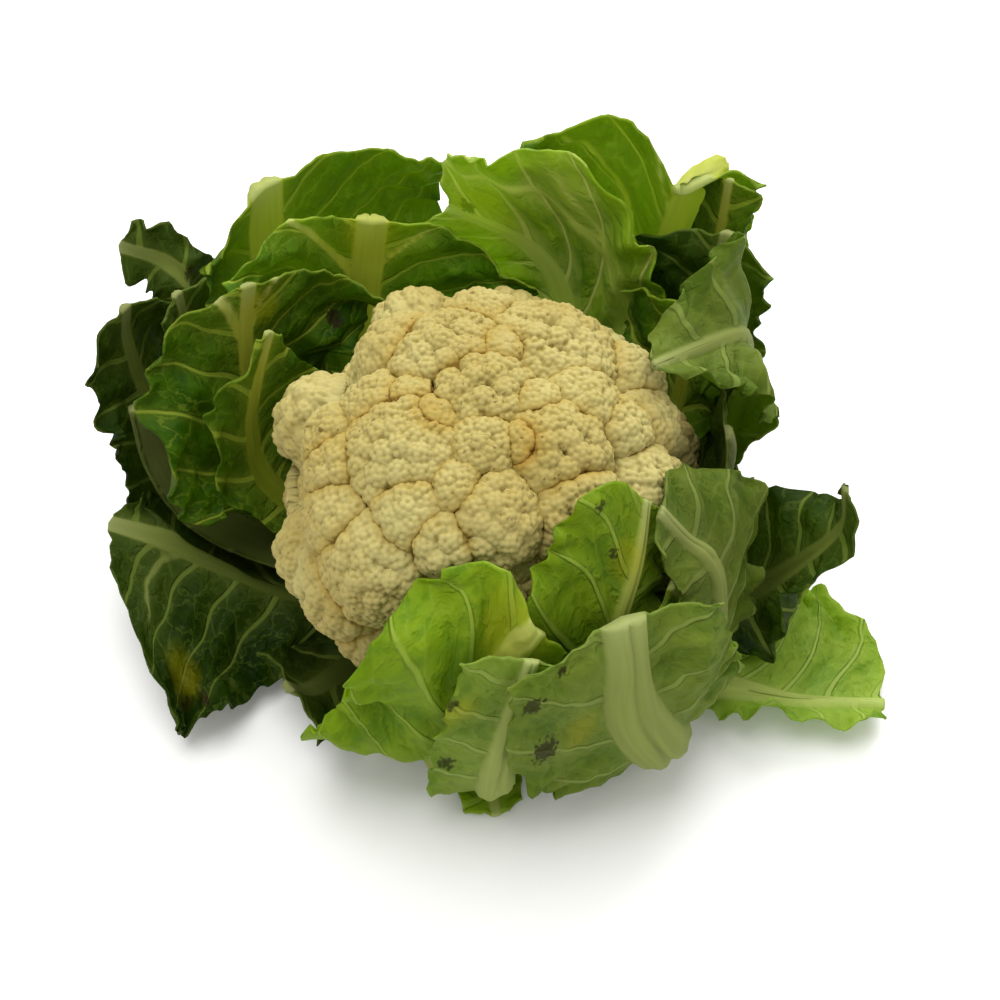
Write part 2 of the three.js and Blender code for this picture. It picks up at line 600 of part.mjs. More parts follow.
/** Distances across one half of the leaf, from the rib's middle to the edge. */
function stations(ribHalf, width, ribCells, bladeCells) {
  const list = [];
  for (let i = 0; i < ribCells; i += 1) list.push((ribHalf * i) / ribCells);
  for (let i = 0; i <= bladeCells; i += 1) list.push(ribHalf + ((width - ribHalf) * i) / bladeCells);
  return list;
}

/** A grid of the leaf's two faces, laid over what is already there. */
function layLeaf(shape, layers, rows, ribCells, bladeCells, spreads) {
  const half = ribCells + bladeCells;
  const inner = [];
  const thick = [];
  for (let i = 0; i <= rows; i += 1) {
    const s = i / rows;
    const rib = shape.ribHalf(s);
    const left = stations(rib, shape.width(s, shape.leaf.cw), ribCells, bladeCells);
    const right = stations(rib, shape.width(s, shape.leaf.ccw), ribCells, bladeCells);
    for (let j = -half; j <= half; j += 1) {
      const y = j < 0 ? left[-j] : right[j];
      inner.push(shape.point(s, y, j < 0 ? -1 : 1));
      thick.push(shape.thickness(s, y));
    }
  }
  layPoints(inner, thick, layers, rows, 2 * half + 1, spreads);
  const columns = 2 * half + 1;
  for (let pass = 0; pass < CLEAR_PASSES; pass += 1) {
    easeFolds(inner, rows, columns);
    clearCells(inner, rows, columns, layers, thick);
  }
  const normals = inner.map((point, k) => {
    const i = Math.floor(k / columns);
    const j = k % columns;
    const at = (row, column) => inner[row * columns + column];
    const forward = at(Math.min(i + 1, rows), j).clone().sub(at(Math.max(i - 1, 0), j));
    const across = at(i, Math.min(j + 1, columns - 1)).clone().sub(at(i, Math.max(j - 1, 0)));
    return forward.cross(across).normalize();
  });
  const outer = inner.map((point, k) => offsetBack(point, normals[k], thick[k]));
  for (let pass = 0; pass < CLEAR_PASSES; pass += 1) {
    for (const [k, m] of gridEdges(rows, columns)) {
      const front = inner[m].clone().sub(inner[k]);
      const back = outer[m].clone().sub(outer[k]);
      if (front.dot(back) > 0.3 * front.lengthSq()) continue;
      for (const n of [k, m]) {
        thick[n] = Math.max(thick[n] * 0.7, LEAST_BLADE);
        outer[n] = offsetBack(inner[n], normals[n], thick[n]);
      }
    }
  }
  return { inner, outer, rows, columns };
}

/** The point of the outer face behind a point of the inner one. */
function offsetBack(point, normal, thickness) {
  const back = point.clone().addScaledVector(normal, -thickness);
  back.z = Math.max(back.z, FLOOR_GAP);
  return back;
}

/** Pairs of neighbouring points of a grid. */
function gridEdges(rows, columns) {
  const edges = [];
  for (let k = 0; k < (rows + 1) * columns; k += 1) {
    if (k % columns < columns - 1) edges.push([k, k + 1]);
    if (k + columns < (rows + 1) * columns) edges.push([k, k + columns]);
  }
  return edges;
}

/** Moves points where a grid would turn sharply back on itself toward the middle of their neighbours. */
function easeFolds(points, rows, columns) {
  const ease = (before, k, after) => {
    const into = points[k].clone().sub(points[before]);
    const onward = points[after].clone().sub(points[k]);
    if (into.dot(onward) > FOLD_COSINE * into.length() * onward.length()) return;
    points[k].lerp(points[before].clone().lerp(points[after], 0.5), 0.5);
  };
  for (let k = 0; k < points.length; k += 1) {
    const row = Math.floor(k / columns);
    const column = k % columns;
    if (row > 0 && row < rows) ease(k - columns, k, k + columns);
    if (column > 0 && column < columns - 1) ease(k - 1, k, k + 1);
  }
}

/** Pushes a grid's points out from the hub until they clear the layers below, easing off around each push. */
function layPoints(points, thick, layers, rows, columns, spreads) {
  const directions = points.map((point) => point.clone().sub(onAxis(HUB)).normalize());
  let pushes = points.map((point, k) => {
    const far = point.distanceTo(onAxis(HUB));
    return softMax(far, layers.least(directions[k]), 4) - far;
  });
  for (let pass = 0; pass < spreads; pass += 1) {
    pushes = pushes.map((push, k) => {
      const row = Math.floor(k / columns);
      const column = k % columns;
      const near = [];
      if (row > 0) near.push(pushes[k - columns]);
      if (row < rows) near.push(pushes[k + columns]);
      if (column > 0) near.push(pushes[k - 1]);
      if (column < columns - 1) near.push(pushes[k + 1]);
      return Math.max(push, near.reduce((sum, value) => sum + value, 0) / near.length);
    });
  }
  points.forEach((point, k) => {
    point.addScaledVector(directions[k], pushes[k]);
    point.z = softMax(point.z, thick[k] + FLOOR_GAP, 2);
  });
}

/** Pushes the corners of a grid's cells out where the middle of a cell or of its edges is not clear. */
function clearCells(points, rows, columns, layers, thick) {
  for (let i = 0; i < rows; i += 1) {
    for (let j = 0; j < columns - 1; j += 1) {
      const a = i * columns + j;
      const b = a + columns;
      for (const corners of [[a, a + 1], [a, b], [a, b, b + 1, a + 1]]) {
        const middle = new THREE.Vector3();
        for (const k of corners) middle.add(points[k]);
        const offset = middle.divideScalar(corners.length).sub(onAxis(HUB));
        const far = offset.length();
        const short = layers.least(offset.divideScalar(far)) - far;
        if (short <= 0) continue;
        for (const k of corners) {
          points[k].addScaledVector(offset, short);
          points[k].z = Math.max(points[k].z, thick[k] + FLOOR_GAP);
        }
      }
    }
  }
}

function leafGeometry({ inner, outer, rows, columns }) {
  const positions = [];
  for (const { x, y, z } of [...inner, ...outer]) positions.push(x, y, z);
  const indices = [];
  const back = inner.length;
  const quad = (a, b, c, d) => indices.push(a, b, c, a, c, d);
  for (let i = 0; i < rows; i += 1) {
    for (let j = 0; j < columns - 1; j += 1) {
      const a = i * columns + j;
      const b = a + columns;
      quad(a, b, b + 1, a + 1);
      indices.push(back + a, back + b + 1, back + b, back + a, back + a + 1, back + b + 1);
    }
    const start = i * columns;
    const end = start + columns - 1;
    quad(start + columns, start, back + start, back + start + columns);
    quad(end, end + columns, back + end + columns, back + end);
  }
  const top = rows * columns;
  for (let j = 0; j < columns - 1; j += 1) {
    quad(j, j + 1, back + j + 1, back + j);
    quad(top + j + 1, top + j, back + top + j, back + top + j + 1);
  }
  return meshGeometry(positions, indices);
}

const MAP_ROWS = 44; // how finely a leaf is sampled for the layer map
const MAP_CELLS = 16;

function makeLeaves(lobes) {
  const layers = new LayerMap(lobes);
  return LEAVES.map((leaf, number) => {
    const shape = new LeafShape(leaf, number + 1);
    const ribCells = leaf.half[0] > 8.5 ? 2 : 1;
    const coarse = layLeaf(shape, layers, leaf.rows, ribCells, leaf.cells, 2);
    const fine = layLeaf(shape, layers, MAP_ROWS, 4, MAP_CELLS, 5);
    layers.add([...fine.inner, ...fine.outer, ...coarse.inner, ...coarse.outer]);
    return namedMesh(leaf.name, leafGeometry(coarse), leaf.colour, 0.5);
  });
}

// ---- the head ------------------------------------------------------------------------------------------

const lobes = allLobes();
const head = new THREE.Group();
head.add(namedMesh('stem', makeStem(), 'stem', 0.6));
head.add(namedMesh('curd', makeCurd(lobes), 'curd', 0.7));
head.add(...makeLeaves(lobes));

export default head;
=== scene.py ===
"""A trimmed head of cauliflower: a domed curd of beaded florets on a cut stem, wrapped in ribbed leaves."""

import math

import bpy
import numpy as np
from bpy.props import FloatProperty, FloatVectorProperty, IntProperty, PointerProperty
from mathutils.kdtree import KDTree
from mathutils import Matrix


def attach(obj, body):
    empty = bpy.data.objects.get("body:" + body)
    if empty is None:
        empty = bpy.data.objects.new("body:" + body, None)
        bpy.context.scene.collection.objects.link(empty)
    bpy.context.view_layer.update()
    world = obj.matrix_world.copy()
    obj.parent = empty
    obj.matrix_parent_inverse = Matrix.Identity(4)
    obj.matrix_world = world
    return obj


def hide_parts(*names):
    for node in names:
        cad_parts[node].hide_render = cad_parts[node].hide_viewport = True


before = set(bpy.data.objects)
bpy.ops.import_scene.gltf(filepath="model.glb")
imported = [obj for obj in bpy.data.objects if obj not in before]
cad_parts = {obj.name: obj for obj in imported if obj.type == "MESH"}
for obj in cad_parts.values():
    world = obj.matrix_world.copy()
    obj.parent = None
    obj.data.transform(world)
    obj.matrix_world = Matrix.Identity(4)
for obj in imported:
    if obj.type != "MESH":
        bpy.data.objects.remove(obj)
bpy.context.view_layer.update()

bl_info = {
    "name": "Cauliflower",
    "version": (1, 0, 0),
    "blender": (4, 5, 0),
    "location": "View3D > Sidebar > Cauliflower",
    "description": "Builds the curd, stem and leaves of a cauliflower around its solid model",
    "category": "Object",
}

# ---- sizes of the head, in millimetres ----

STEM_RADIUS, STEM_FLARE, STEM_TOP = 25, 31, 50
CURD_CENTRE, CURD_RADIUS, CURD_ABOVE, CURD_BELOW, CURD_LOWEST = 80, 85, 64, 54, 112
LOBE_ROUND = 1.22  # a lobe's sphere is this much wider than the half width that shows
CURD_FLAT, CURD_FLAT_AT = 0.07, -176  # the dome is this share flatter on the side at this azimuth
FACING = np.array([0, -0.5, 0.8660254])  # the side of the curd that gets the finest facets
HUB = 50  # height on the axis from which the leaves are layered outwards
LAYER_GAP = 2.4  # least distance, seen from the hub, between one leaf and the next one out
SKIN_GAP = 0.8  # the same between a leaf and the curd or the stem
FLOOR_GAP = 0.5  # the leaves stay this far above the surface that the stem stands on
LAY_ROUNDING, LAY_PASSES = 4, 12  # how softly a leaf bends over what is under it
BLADE_LEAST = 1.2  # a blade reaches at least this far past its rib
RIB_CELLS = 5  # facets across each half of a rib
CUT_FADE = 9  # over this length the pale cut end of a rib turns green
CROWDING = 0.36  # how strongly the curd's facets are drawn toward the side that faces forward
DEEPER, DEEPER_FROM = 0.27, 1.5  # valleys between lobes sink by this share of what lies below this depth
DEEPEST = 0.83  # and end at this share of the dome
LOBE_SHIFT = 300.0  # lobes are this far apart where mounds are spread over them, so that none straddles two
GRID = 8192  # cells along each side of the grid that thins out points
MM = 0.001

# Lobes of the curd: angle down from the top, azimuth counted anticlockwise from +X, half width that shows.
LOBES = [
    (21, 123, 24), (42, 37, 27), (11, -74, 20), (39, -169, 15), (26, -158, 12),
    (43, -45, 20), (32, -84, 12), (27, -124, 11), (44, -129, 24), (54, -83, 16),
    (59, -100, 11), (44, -97, 9), (25, -33, 9), (39, -11, 14), (52, -14, 11),
    (62, -1, 12), (58, -149, 14), (74, -121, 20), (88, -131, 18), (40, 140, 17),
    (60, 18, 15), (56, -166, 13), (67, -137, 15), (60, -52, 17), (54, -113, 13),
    (38, 88, 15), (102, -120, 17), (14, 50, 10), (34, -60, 9),
]
FILL_COUNT, FILL_HALF, FILL_SPACING = 56, 16, 0.8  # the lobes between and behind those


def side(width, lift=(0,), curl=(0,), top=(0,)):
    """One side of a blade."""
    return {"width": width, "lift": lift, "curl": curl, "top": top}


def leaf(name, colour, **form):
    """One leaf, with what its line leaves out filled in."""
    usual = {"depth": 1.0, "tint": colour, "turn": 0, "ruffle": 5, "waves": 3, "crumple": 2.4}
    return {"name": name, "colour": colour, **usual, "forks": [], "stain": [], "flush": [], **form}


# Leaves from the innermost to the outermost. depth: how bright its tint is painted, where 1 is as the tint is
# given, to paint the light and shade that falls on the whole leaf.
# tint: "open" for leaves that show light through them, so that their outer face looks much like their inner
# one. turn: degrees by which the whole leaf is rolled about its rib. ruffle, waves: height and number of the
# waves of its edges. crumple: height of its dents. half, deep: half width and depth of its rib, from foot to
# end. rib: azimuth, distance from the axis and height of points on the rib. ccw, cw: the blade on the side of
# growing and of falling azimuth, with its width, its lift in degrees, its curl in degrees a centimetre, and
# how far its end reaches past the rib's. forks: branches of the rib, each with points at a share of the way
# along the leaf and millimetres across it, and its half width at its start and end. stain, flush: bruises
# and yellowed patches, each with its place in the same way and its size.
LEAVES = [
    leaf("leaf_front_inner", "sunlit", depth=0.85, tint="open", ruffle=3, crumple=1.4, half=[8, 2.5],
        deep=[5, 2.5],
        rib=[(-62, 28, 40), (-61, 64, 37), (-60, 86, 56), (-57, 86, 84), (-47, 79, 104), (-35, 70, 117)],
        ccw=side([9, 13, 18, 28, 30, 20], curl=[0, 0, 4], top=[0, -2, -8]),
        cw=side([9, 13, 24, 38, 40, 32], curl=[0, 0, 4], top=[0, 4, -4]),
        stain=[(0.85, -12.5, 2.2), (0.95, -22.5, 2.5)], flush=[(0.85, -6, 7)]),
    leaf("leaf_front_bud", "green", depth=0.8, ruffle=2, waves=2, crumple=0.6, half=[5.5, 3], deep=[4.5, 2.5],
        rib=[(-38, 28, 40), (-38, 62, 36), (-38, 90, 52), (-36, 95, 76), (-41, 88, 95)],
        ccw=side([7.5, 9, 14, 16, 12], top=[0, -4]), cw=side([7.5, 9, 12, 14, 12], top=[0, -4])),
    leaf("leaf_left_inner", "green", depth=0.6, turn=-24, ruffle=3.5, waves=4, crumple=1.6, half=[7, 2],
        deep=[4.5, 2],
        rib=[(166, 28, 40), (166, 64, 38), (166, 88, 56), (164, 92, 80), (161, 89, 102), (156, 84, 125)],
        ccw=side([8, 10, 16, 21, 19, 5], lift=[0, 0, -10], top=[0, -2]),
        cw=side([8, 10, 14, 24, 34, 6], lift=[0, 0, -4], curl=[0, 0, 3], top=[0, -2])),
    leaf("leaf_right_inner", "green", depth=0.6, crumple=2, half=[7, 2.5], deep=[4.5, 2.5],
        rib=[(32, 28, 40), (32, 64, 38), (33, 92, 58), (34, 99, 86), (33, 98, 118)],
        ccw=side([8, 12, 22, 32, 38], top=[0, -6, -18]), cw=side([8, 12, 18, 20, 18], top=[0, 2, -6])),
    leaf("leaf_left", "green", depth=0.55, ruffle=6, waves=4, half=[7, 3.5], deep=[5.5, 4, 3],
        rib=[(149, 27, 32), (149, 66, 28), (151, 94, 52), (152, 103, 78), (149, 106, 104), (145, 107, 124)],
        ccw=side([8.5, 11, 26, 54, 50, 36], lift=[0, 0, 0, -10, -24, -34], curl=[0, 0, -1], top=[0, -6, -16]),
        cw=side([9, 14, 26, 40, 54, 62], lift=[0, 0, 6, 10], curl=[0, 0, 2, 4], top=[0, 2, -6]),
        forks=[([(0.82, 0), (0.89, 3.8), (1, 12.5)], 2.2, 1.7),
        ([(0.84, 0), (0.93, -5), (1, -12)], 1.8, 1.2)], stain=[(0.84, -41.8, 4)], flush=[(0.93, -7, 8)]),
    leaf("leaf_back_left_inner", "green", depth=0.95, ruffle=6, waves=4, half=[10, 7], deep=[6, 7, 6],
        rib=[(112, 27, 36), (113, 66, 30), (115, 100, 42), (116, 115, 68), (114, 118, 92), (112, 117, 116)],
        ccw=side([11, 18, 40, 62, 72, 66], lift=[0, 0, 0, -8, -12], top=[0, 6, -18]),
        cw=side([11, 16, 30, 52, 70, 74], lift=[0, 0, 4, 8], curl=[0, 0, 2, 4], top=[0, 0, -10]),
        forks=[([(0.78, 1), (0.86, 10), (0.93, 22), (1, 35)], 2.4, 1.1),
        ([(0.8, -1), (0.87, -7), (0.97, -23)], 2, 0.9)], flush=[(0.95, 0, 14)]),
    leaf("leaf_left_curl", "dark", depth=0.42, ruffle=2, crumple=1, half=[6, 2.5], deep=[4, 2.5],
        rib=[(144, 26, 28), (146, 76, 22), (150, 118, 46), (150, 134, 80), (150, 136, 114)],
        ccw=side([8, 10, 12, 15, 15], curl=[0, 0, 10], top=[0, -4]),
        cw=side([8, 10, 12, 16, 18], curl=[0, 0, 10], top=[0, -4])),
    leaf("leaf_back", "sunlit", depth=1.15, ruffle=6, half=[10, 3], deep=[6, 5, 3],
        rib=[(69, 27, 36), (69, 66, 30), (70, 102, 46), (72, 116, 72), (80, 121, 95), (96, 127, 110)],
        ccw=side([11, 16, 26, 38, 44, 40], lift=[0, 0, -6], top=[0, 9, 10]),
        cw=side([11, 18, 34, 54, 58, 44], lift=[0, 0, 0, 4], top=[0, 12, 5]),
        forks=[([(0.45, -12), (0.6, -30), (0.78, -29), (1, -22)], 2.4, 1.3),
        ([(0.6, -30), (0.73, -36), (0.84, -48)], 1.6, 0.9)], stain=[(0.95, -5, 4)], flush=[(0.9, -3, 16)]),
    leaf("leaf_front_left", "sunlit", tint="open", ruffle=6, half=[10, 4], deep=[6, 7, 3.5],
        rib=[(-100, 27, 28), (-100, 62, 21), (-98, 88, 28), (-93, 94, 54), (-88, 91, 82), (-77, 82, 104)],
        ccw=side([11, 13, 16, 24, 32, 28], top=[0, -4, -14]),
        cw=side([11, 22, 52, 46, 44, 36], lift=[0, -6, -8, 0], top=[0, 14, 0]),
        flush=[(0.93, -2.6, 15)]),
    leaf("leaf_right_low", "pale", depth=0.34, ruffle=3.5, crumple=1.8, half=[9, 3], deep=[5, 4, 3],
        rib=[(6, 27, 30), (6, 64, 22), (7, 91, 40), (7, 95, 68), (4, 94, 92), (0, 90, 108)],
        ccw=side([10, 14, 24, 32, 34, 26], top=[0, -4, -10]),
        cw=side([10, 14, 24, 30, 30, 26], top=[0, -4, -10])),
    leaf("leaf_right", "pale", depth=0.62, crumple=2.2, half=[9, 2.5], deep=[5, 4, 2.5],
        rib=[(20, 27, 28), (20, 66, 20), (20, 93, 38), (22, 102, 72), (24, 110, 102), (19, 100, 125),
        (4, 61, 136)],
        ccw=side([10, 12, 15, 24, 44, 46, 30, 10], lift=[0, 0, 0, -12, -34, -30, 0], top=[0, -3, -8]),
        cw=side([10, 12, 13, 18, 28, 34, 26, 10], lift=[0, 0, -6], top=[0, -3, -8])),
    leaf("leaf_front_right", "pale", depth=0.56, waves=4, half=[9, 2.5], deep=[5, 4, 2.5],
        rib=[(-37, 27, 30), (-37, 64, 22), (-39, 98, 37), (-35, 104, 64), (-32, 94, 92), (-37, 75, 117)],
        ccw=side([10, 17, 33, 44, 44, 26], lift=[0, 0, -6, -10], top=[0, 2, -6]),
        cw=side([10, 14, 24, 26, 22, 12], top=[0, -2, -6])),
    leaf("leaf_front_mid", "pale", ruffle=4, waves=4, crumple=3, half=[6, 7, 2.5], deep=[5, 5, 2.5],
        rib=[(-85, 26, 20), (-85, 58, 15), (-86, 85, 18), (-86, 99, 42), (-83, 98, 74), (-79, 95, 103)],
        ccw=side([7.5, 14, 24, 26, 26, 26], top=[0, -2, -4]),
        cw=side([7.5, 14, 22, 24, 24, 22], lift=[0, 0, 0, 6], top=[0, 0, -4]),
        stain=[(0.87, -21, 3), (0.64, -18, 3.5)], flush=[(0.84, -20, 8)]),
    leaf("leaf_front", "pale", depth=0.76, ruffle=4, crumple=2, half=[7, 12, 11, 9], deep=[6, 8, 6],
        rib=[(-43, 26, 20), (-42, 64, 14), (-45, 97, 16), (-53, 109, 36), (-60, 105, 70), (-59, 93, 105)],
        ccw=side([8.5, 15, 34, 42, 42, 38], top=[0, -4, -8]),
        cw=side([8.5, 16, 34, 42, 46, 42], top=[0, -2, -10]),
        stain=[(0.93, -34.5, 4), (0.81, -32.7, 5.5), (0.97, -25, 2.5)], flush=[(0.8, -19, 6)]),
    leaf("leaf_right_curled", "dark", depth=0.55, crumple=2.2, half=[3.5, 6, 3], deep=[4.5, 4, 3],
        rib=[(34, 26, 21), (34, 70, 16), (38, 108, 42), (42, 126, 80), (43, 134, 124)],
        ccw=side([4.8, 9, 22, 34, 36], lift=[0, 0, 0, 6], curl=[0, 0, 4, 12], top=[0, -4, -12]),
        cw=side([4.8, 9, 20, 28, 28], lift=[0, 0, 0], top=[0, -2, -8])),
    leaf("leaf_back_torn", "green", depth=0.6, ruffle=3, waves=4, crumple=1.2, half=[4, 5, 2], deep=[4, 3, 2],
        rib=[(46, 26, 15), (45, 76, 11), (45, 122, 38), (47, 144, 82), (48, 149, 116), (48, 149, 136)],
        ccw=side([5.5, 8, 11, 12, 14, 12], top=[0, -5]), cw=side([5.5, 8, 12, 12, 15, 14], top=[0, 2])),
    leaf("leaf_back_right", "green", depth=0.92, ruffle=6, half=[5, 9, 10, 8, 6], deep=[4, 7, 5],
        rib=[(62, 26, 16), (61, 72, 12), (57, 112, 32), (55, 128, 64), (54, 132, 98), (52, 131, 130)],
        ccw=side([7, 17, 34, 54, 70, 70], top=[0, 26, 22, 4]), cw=side([7, 11, 15, 18, 22, 18], top=[0, -4]),
        forks=[([(0.7, 6), (0.85, 23), (0.92, 40), (0.97, 54)], 1.7, 0.8),
        ([(0.85, 2), (0.93, 7), (1, 14)], 1.2, 0.8)]),
    leaf("leaf_back_left", "green", depth=0.8, ruffle=6, half=[5, 9, 10, 9, 8], deep=[5, 8, 6],
        rib=[(121, 26, 20), (124, 74, 15), (127, 122, 34), (128, 146, 66), (127, 150, 96), (126, 149, 125)],
        ccw=side([7, 15, 28, 34, 34, 28], top=[0, -8, -22]), cw=side([7, 15, 36, 61, 80, 81], top=[0, 8, 2])),
    leaf("leaf_left_low_inner", "dark", depth=0.3, ruffle=3, waves=2, crumple=2, half=[7, 3], deep=[4, 3],
        rib=[(-146, 26, 14), (-146, 56, 10), (-142, 82, 16), (-140, 93, 32)],
        ccw=side([9, 14, 24, 24], top=[0, -6]), cw=side([9, 14, 22, 22], top=[0, -6])),
    leaf("leaf_left_stub", "pale", depth=0.22, ruffle=0, waves=1, crumple=0, half=[7, 9, 7], deep=[4.5, 6, 5],
        rib=[(172, 26, 26), (171, 74, 20), (169, 116, 32), (166, 134, 54), (163, 140, 80)],
        ccw=side([9, 9, 9, 9, 8]), cw=side([9, 9, 9, 9, 8])),
    leaf("leaf_left_low", "dark", depth=0.36, half=[4.5, 7, 3.5], deep=[5, 5, 3],
        rib=[(186, 26, 20), (184, 66, 15), (180, 100, 28), (178, 128, 40), (177, 149, 46)],
        ccw=side([6, 11, 34, 58, 70, 74], lift=[0, -8, -20, -26, -28], top=[0, -8, -22, -38, -54]),
        cw=side([6, 17, 25, 26, 22], lift=[0, 6, 12, 18], top=[0, -4, -12]),
        forks=[([(0.72, 0), (0.82, 8), (0.88, 20), (0.9, 34)], 1.5, 0.7)],
        stain=[(0.72, 58, 3.5), (0.82, 60, 3)], flush=[(0.8, 50, 9)]),
    leaf("leaf_left_outer", "dark", depth=0.3, ruffle=6, waves=4, crumple=2.6, half=[4, 6, 3], deep=[4, 5, 3],
        rib=[(157, 26, 10), (158, 76, 7), (158, 124, 30), (157, 148, 64), (156, 154, 92), (155, 152, 110)],
        ccw=side([5.5, 10, 22, 29, 32, 24], top=[0, -6, -14]),
        cw=side([5.5, 9, 22, 28, 30, 26], top=[0, -2, -8])),
    leaf("leaf_back_left_outer", "dark", depth=0.34, half=[3.5, 5, 3], deep=[3.5, 4, 3],
        rib=[(138, 26, 10), (140, 76, 7), (142, 124, 38), (140, 146, 74), (141, 164, 97), (144, 186, 104)],
        ccw=side([4.8, 7, 13, 18, 20, 12], top=[0, -3, -6]),
        cw=side([4.8, 7, 13, 18, 18, 12], top=[0, -2, -4]),
        stain=[(0.84, -2.9, 4)]),
    leaf("leaf_far_right", "dark", depth=0.42, half=[5, 6, 2.5], deep=[4.5, 4, 2.5],
        rib=[(-6, 26, 18), (-6, 72, 14), (-6, 106, 24), (-7, 124, 46), (-7, 136, 72), (-5, 134, 92)],
        ccw=side([7, 13, 42, 46, 32, 10], lift=[0, 10, 24, 16, 0], top=[0, -4, -10]),
        cw=side([7, 12, 26, 32, 26, 8], lift=[0, 4, 8, 4], top=[0, -4, -10])),
    leaf("leaf_fallen", "pale", depth=1.2, turn=180, crumple=1.8, half=[4, 6, 2.5], deep=[3, 5, 3],
        rib=[(-25, 26, 6), (-25, 66, 5.5), (-26, 106, 11), (-24, 134, 10), (-19, 168, 9)],
        ccw=side([5.5, 9, 12, 14, 12], lift=[0, 6], top=[0, -2]),
        cw=side([5.5, 10, 36, 70, 58], lift=[0, -16, -36, -44, -34], top=[0, 4, -14])),
    leaf("leaf_front_flap", "dark", tint="open", ruffle=0.6, waves=2, crumple=0.3, half=[4.5, 2],
        deep=[2.4, 1.6],
        rib=[(-88, 26, 6), (-88, 58, 3.8), (-87, 82, 3.2), (-86, 99, 3)],
        ccw=side([6, 9, 14, 11], top=[0, -4]), cw=side([6, 9, 14, 12], top=[0, -3])),
]

# ---- shared arithmetic ----


def around(azimuth, distance, height):
    """A point in millimetres from its azimuth in degrees, its distance from the axis and its height."""
    turn = np.radians(azimuth)
    height = np.broadcast_to(height, np.shape(turn))
    return np.stack([distance * np.cos(turn), distance * np.sin(turn), height], -1)


def chance(n):
    """A repeatable number from 0 to 1 for any number."""
    x = np.sin(np.asarray(n, float) * 12.9898 + 4.1414) * 43758.5453
    return x - np.floor(x)


def along(values, t):
    """The value at t (0 to 1) of a smooth line through evenly spaced values."""
    values = np.asarray(values, float)
    last = len(values) - 1
    if last < 1:
        return np.full(np.shape(t), values[0])
    x = np.clip(t, 0, 1) * last
    i = np.minimum(np.floor(x).astype(int), last - 1)
    f = x - i
    before, start, end, after = (values[np.clip(i + k, 0, last)] for k in (-1, 0, 1, 2))
    rise, fall = (end - before) / 2, (after - start) / 2
    return (
        (2 * f**3 - 3 * f**2 + 1) * start
        + (f**3 - 2 * f**2 + f) * rise
        + (3 * f**2 - 2 * f**3) * end
        + (f**3 - f**2) * fall
    )


def soft_max(a, b, width):
    """The larger of a and b, rounded off over a width where they meet."""
    near = np.maximum(width - np.abs(a - b), 0) / width
    return np.maximum(a, b) + near * near * width / 4


def smooth_step(low, high, x):
    t = np.clip((x - low) / (high - low), 0, 1)
    return t * t * (3 - 2 * t)


def unit(v):
    return v / np.linalg.norm(v, axis=-1, keepdims=True)


def ripple(x, seed):
    """Smooth irregular waves between about -1 and 1."""
    slow = np.sin(x / 6.1 + seed) + np.sin(x / 3.7 + 2.1 * seed + np.sin(x / 9.3))
    return (slow + 0.7 * np.sin(x / 1.9 + 3.3 * seed)) / 2.7


def corner_normals(points, triangles):
    """The direction that a surface faces at each of its points."""
    first = points[triangles[:, 0]]
    facing = np.cross(points[triangles[:, 1]] - first, points[triangles[:, 2]] - first)
    flat = triangles.ravel()
    return unit(np.stack([np.bincount(flat, np.repeat(facing[:, k], 3), len(points)) for k in range(3)], 1))


def nearest_seeds(points, seeds):
    """The nearest seed of each point, and the distances in millimetres to it and to the second nearest."""
    tree = KDTree(len(seeds))
    for i, seed in enumerate(seeds):
        tree.insert(seed, i)
    tree.balance()
    found = [tree.find_n(point, 2) for point in points]
    owner = np.array([pair[0][1] for pair in found])
    return owner, np.array([pair[0][2] for pair in found]), np.array([pair[1][2] for pair in found])


def even_seeds(points, spacing):
    """Points spread evenly over the given ones, about this far apart."""
    mixed = points[np.argsort(chance(np.arange(len(points))))]
    cell = np.floor(mixed / (1.16 * spacing)).astype(np.int64) + GRID // 2
    _, first = np.unique((cell[:, 0] * GRID + cell[:, 1]) * GRID + cell[:, 2], return_index=True)
    seeds = mixed[first]
    for _ in range(2):
        owner = nearest_seeds(points, seeds)[0]
        count = np.bincount(owner, minlength=len(seeds))
        total = [np.bincount(owner, points[:, k], len(seeds)) for k in range(3)]
        seeds = np.stack(total, 1)[count > 0] / count[count > 0, None]
    return seeds


def add_mesh(name, points, faces, values, blade_map=None):
    """A smooth mesh object from points in millimetres, lists of faces, and a value for each point by name."""
    mesh = bpy.data.meshes.new(name)
    corners = np.concatenate([f.ravel() for f in faces]).astype(np.int32)
    sizes = np.concatenate([np.full(len(f), f.shape[1]) for f in faces])
    mesh.vertices.add(len(points))
    mesh.vertices.foreach_set("co", (points * MM).astype(np.float32).ravel())
    mesh.loops.add(len(corners))
    mesh.loops.foreach_set("vertex_index", corners)
    mesh.polygons.add(len(sizes))
    mesh.polygons.foreach_set("loop_start", np.concatenate([[0], np.cumsum(sizes)[:-1]]).astype(np.int32))
    for key, value in values.items():
        layer = mesh.attributes.new(key, "FLOAT", "POINT")
        layer.data.foreach_set("value", np.asarray(value, np.float32).ravel())
    if blade_map is not None:
        layer = mesh.uv_layers.new(name="blade")
        layer.data.foreach_set("uv", blade_map[corners].astype(np.float32).ravel())
    mesh.update(calc_edges=True)
    mesh.validate()
    mesh.shade_smooth()
    piece = bpy.data.objects.new(name, mesh)
    bpy.context.scene.collection.objects.link(piece)
    return piece


def finish_piece(piece, node, slot, material):
    """Puts a piece in the place of its solid."""
    piece.data.materials.append(material)
    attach(piece, "root")
    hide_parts(node)


# ---- shader arithmetic ----


def paint(red, green, blue):
    """A colour given as 0 to 255 on screen, as the linear colour that a shader takes."""
    shares = (red / 255, green / 255, blue / 255)
    return tuple(((c + 0.055) / 1.055) ** 2.4 if c > 0.04 else c / 12.92 for c in shares)


def dim(colour, share):
    return tuple(c * share for c in colour)


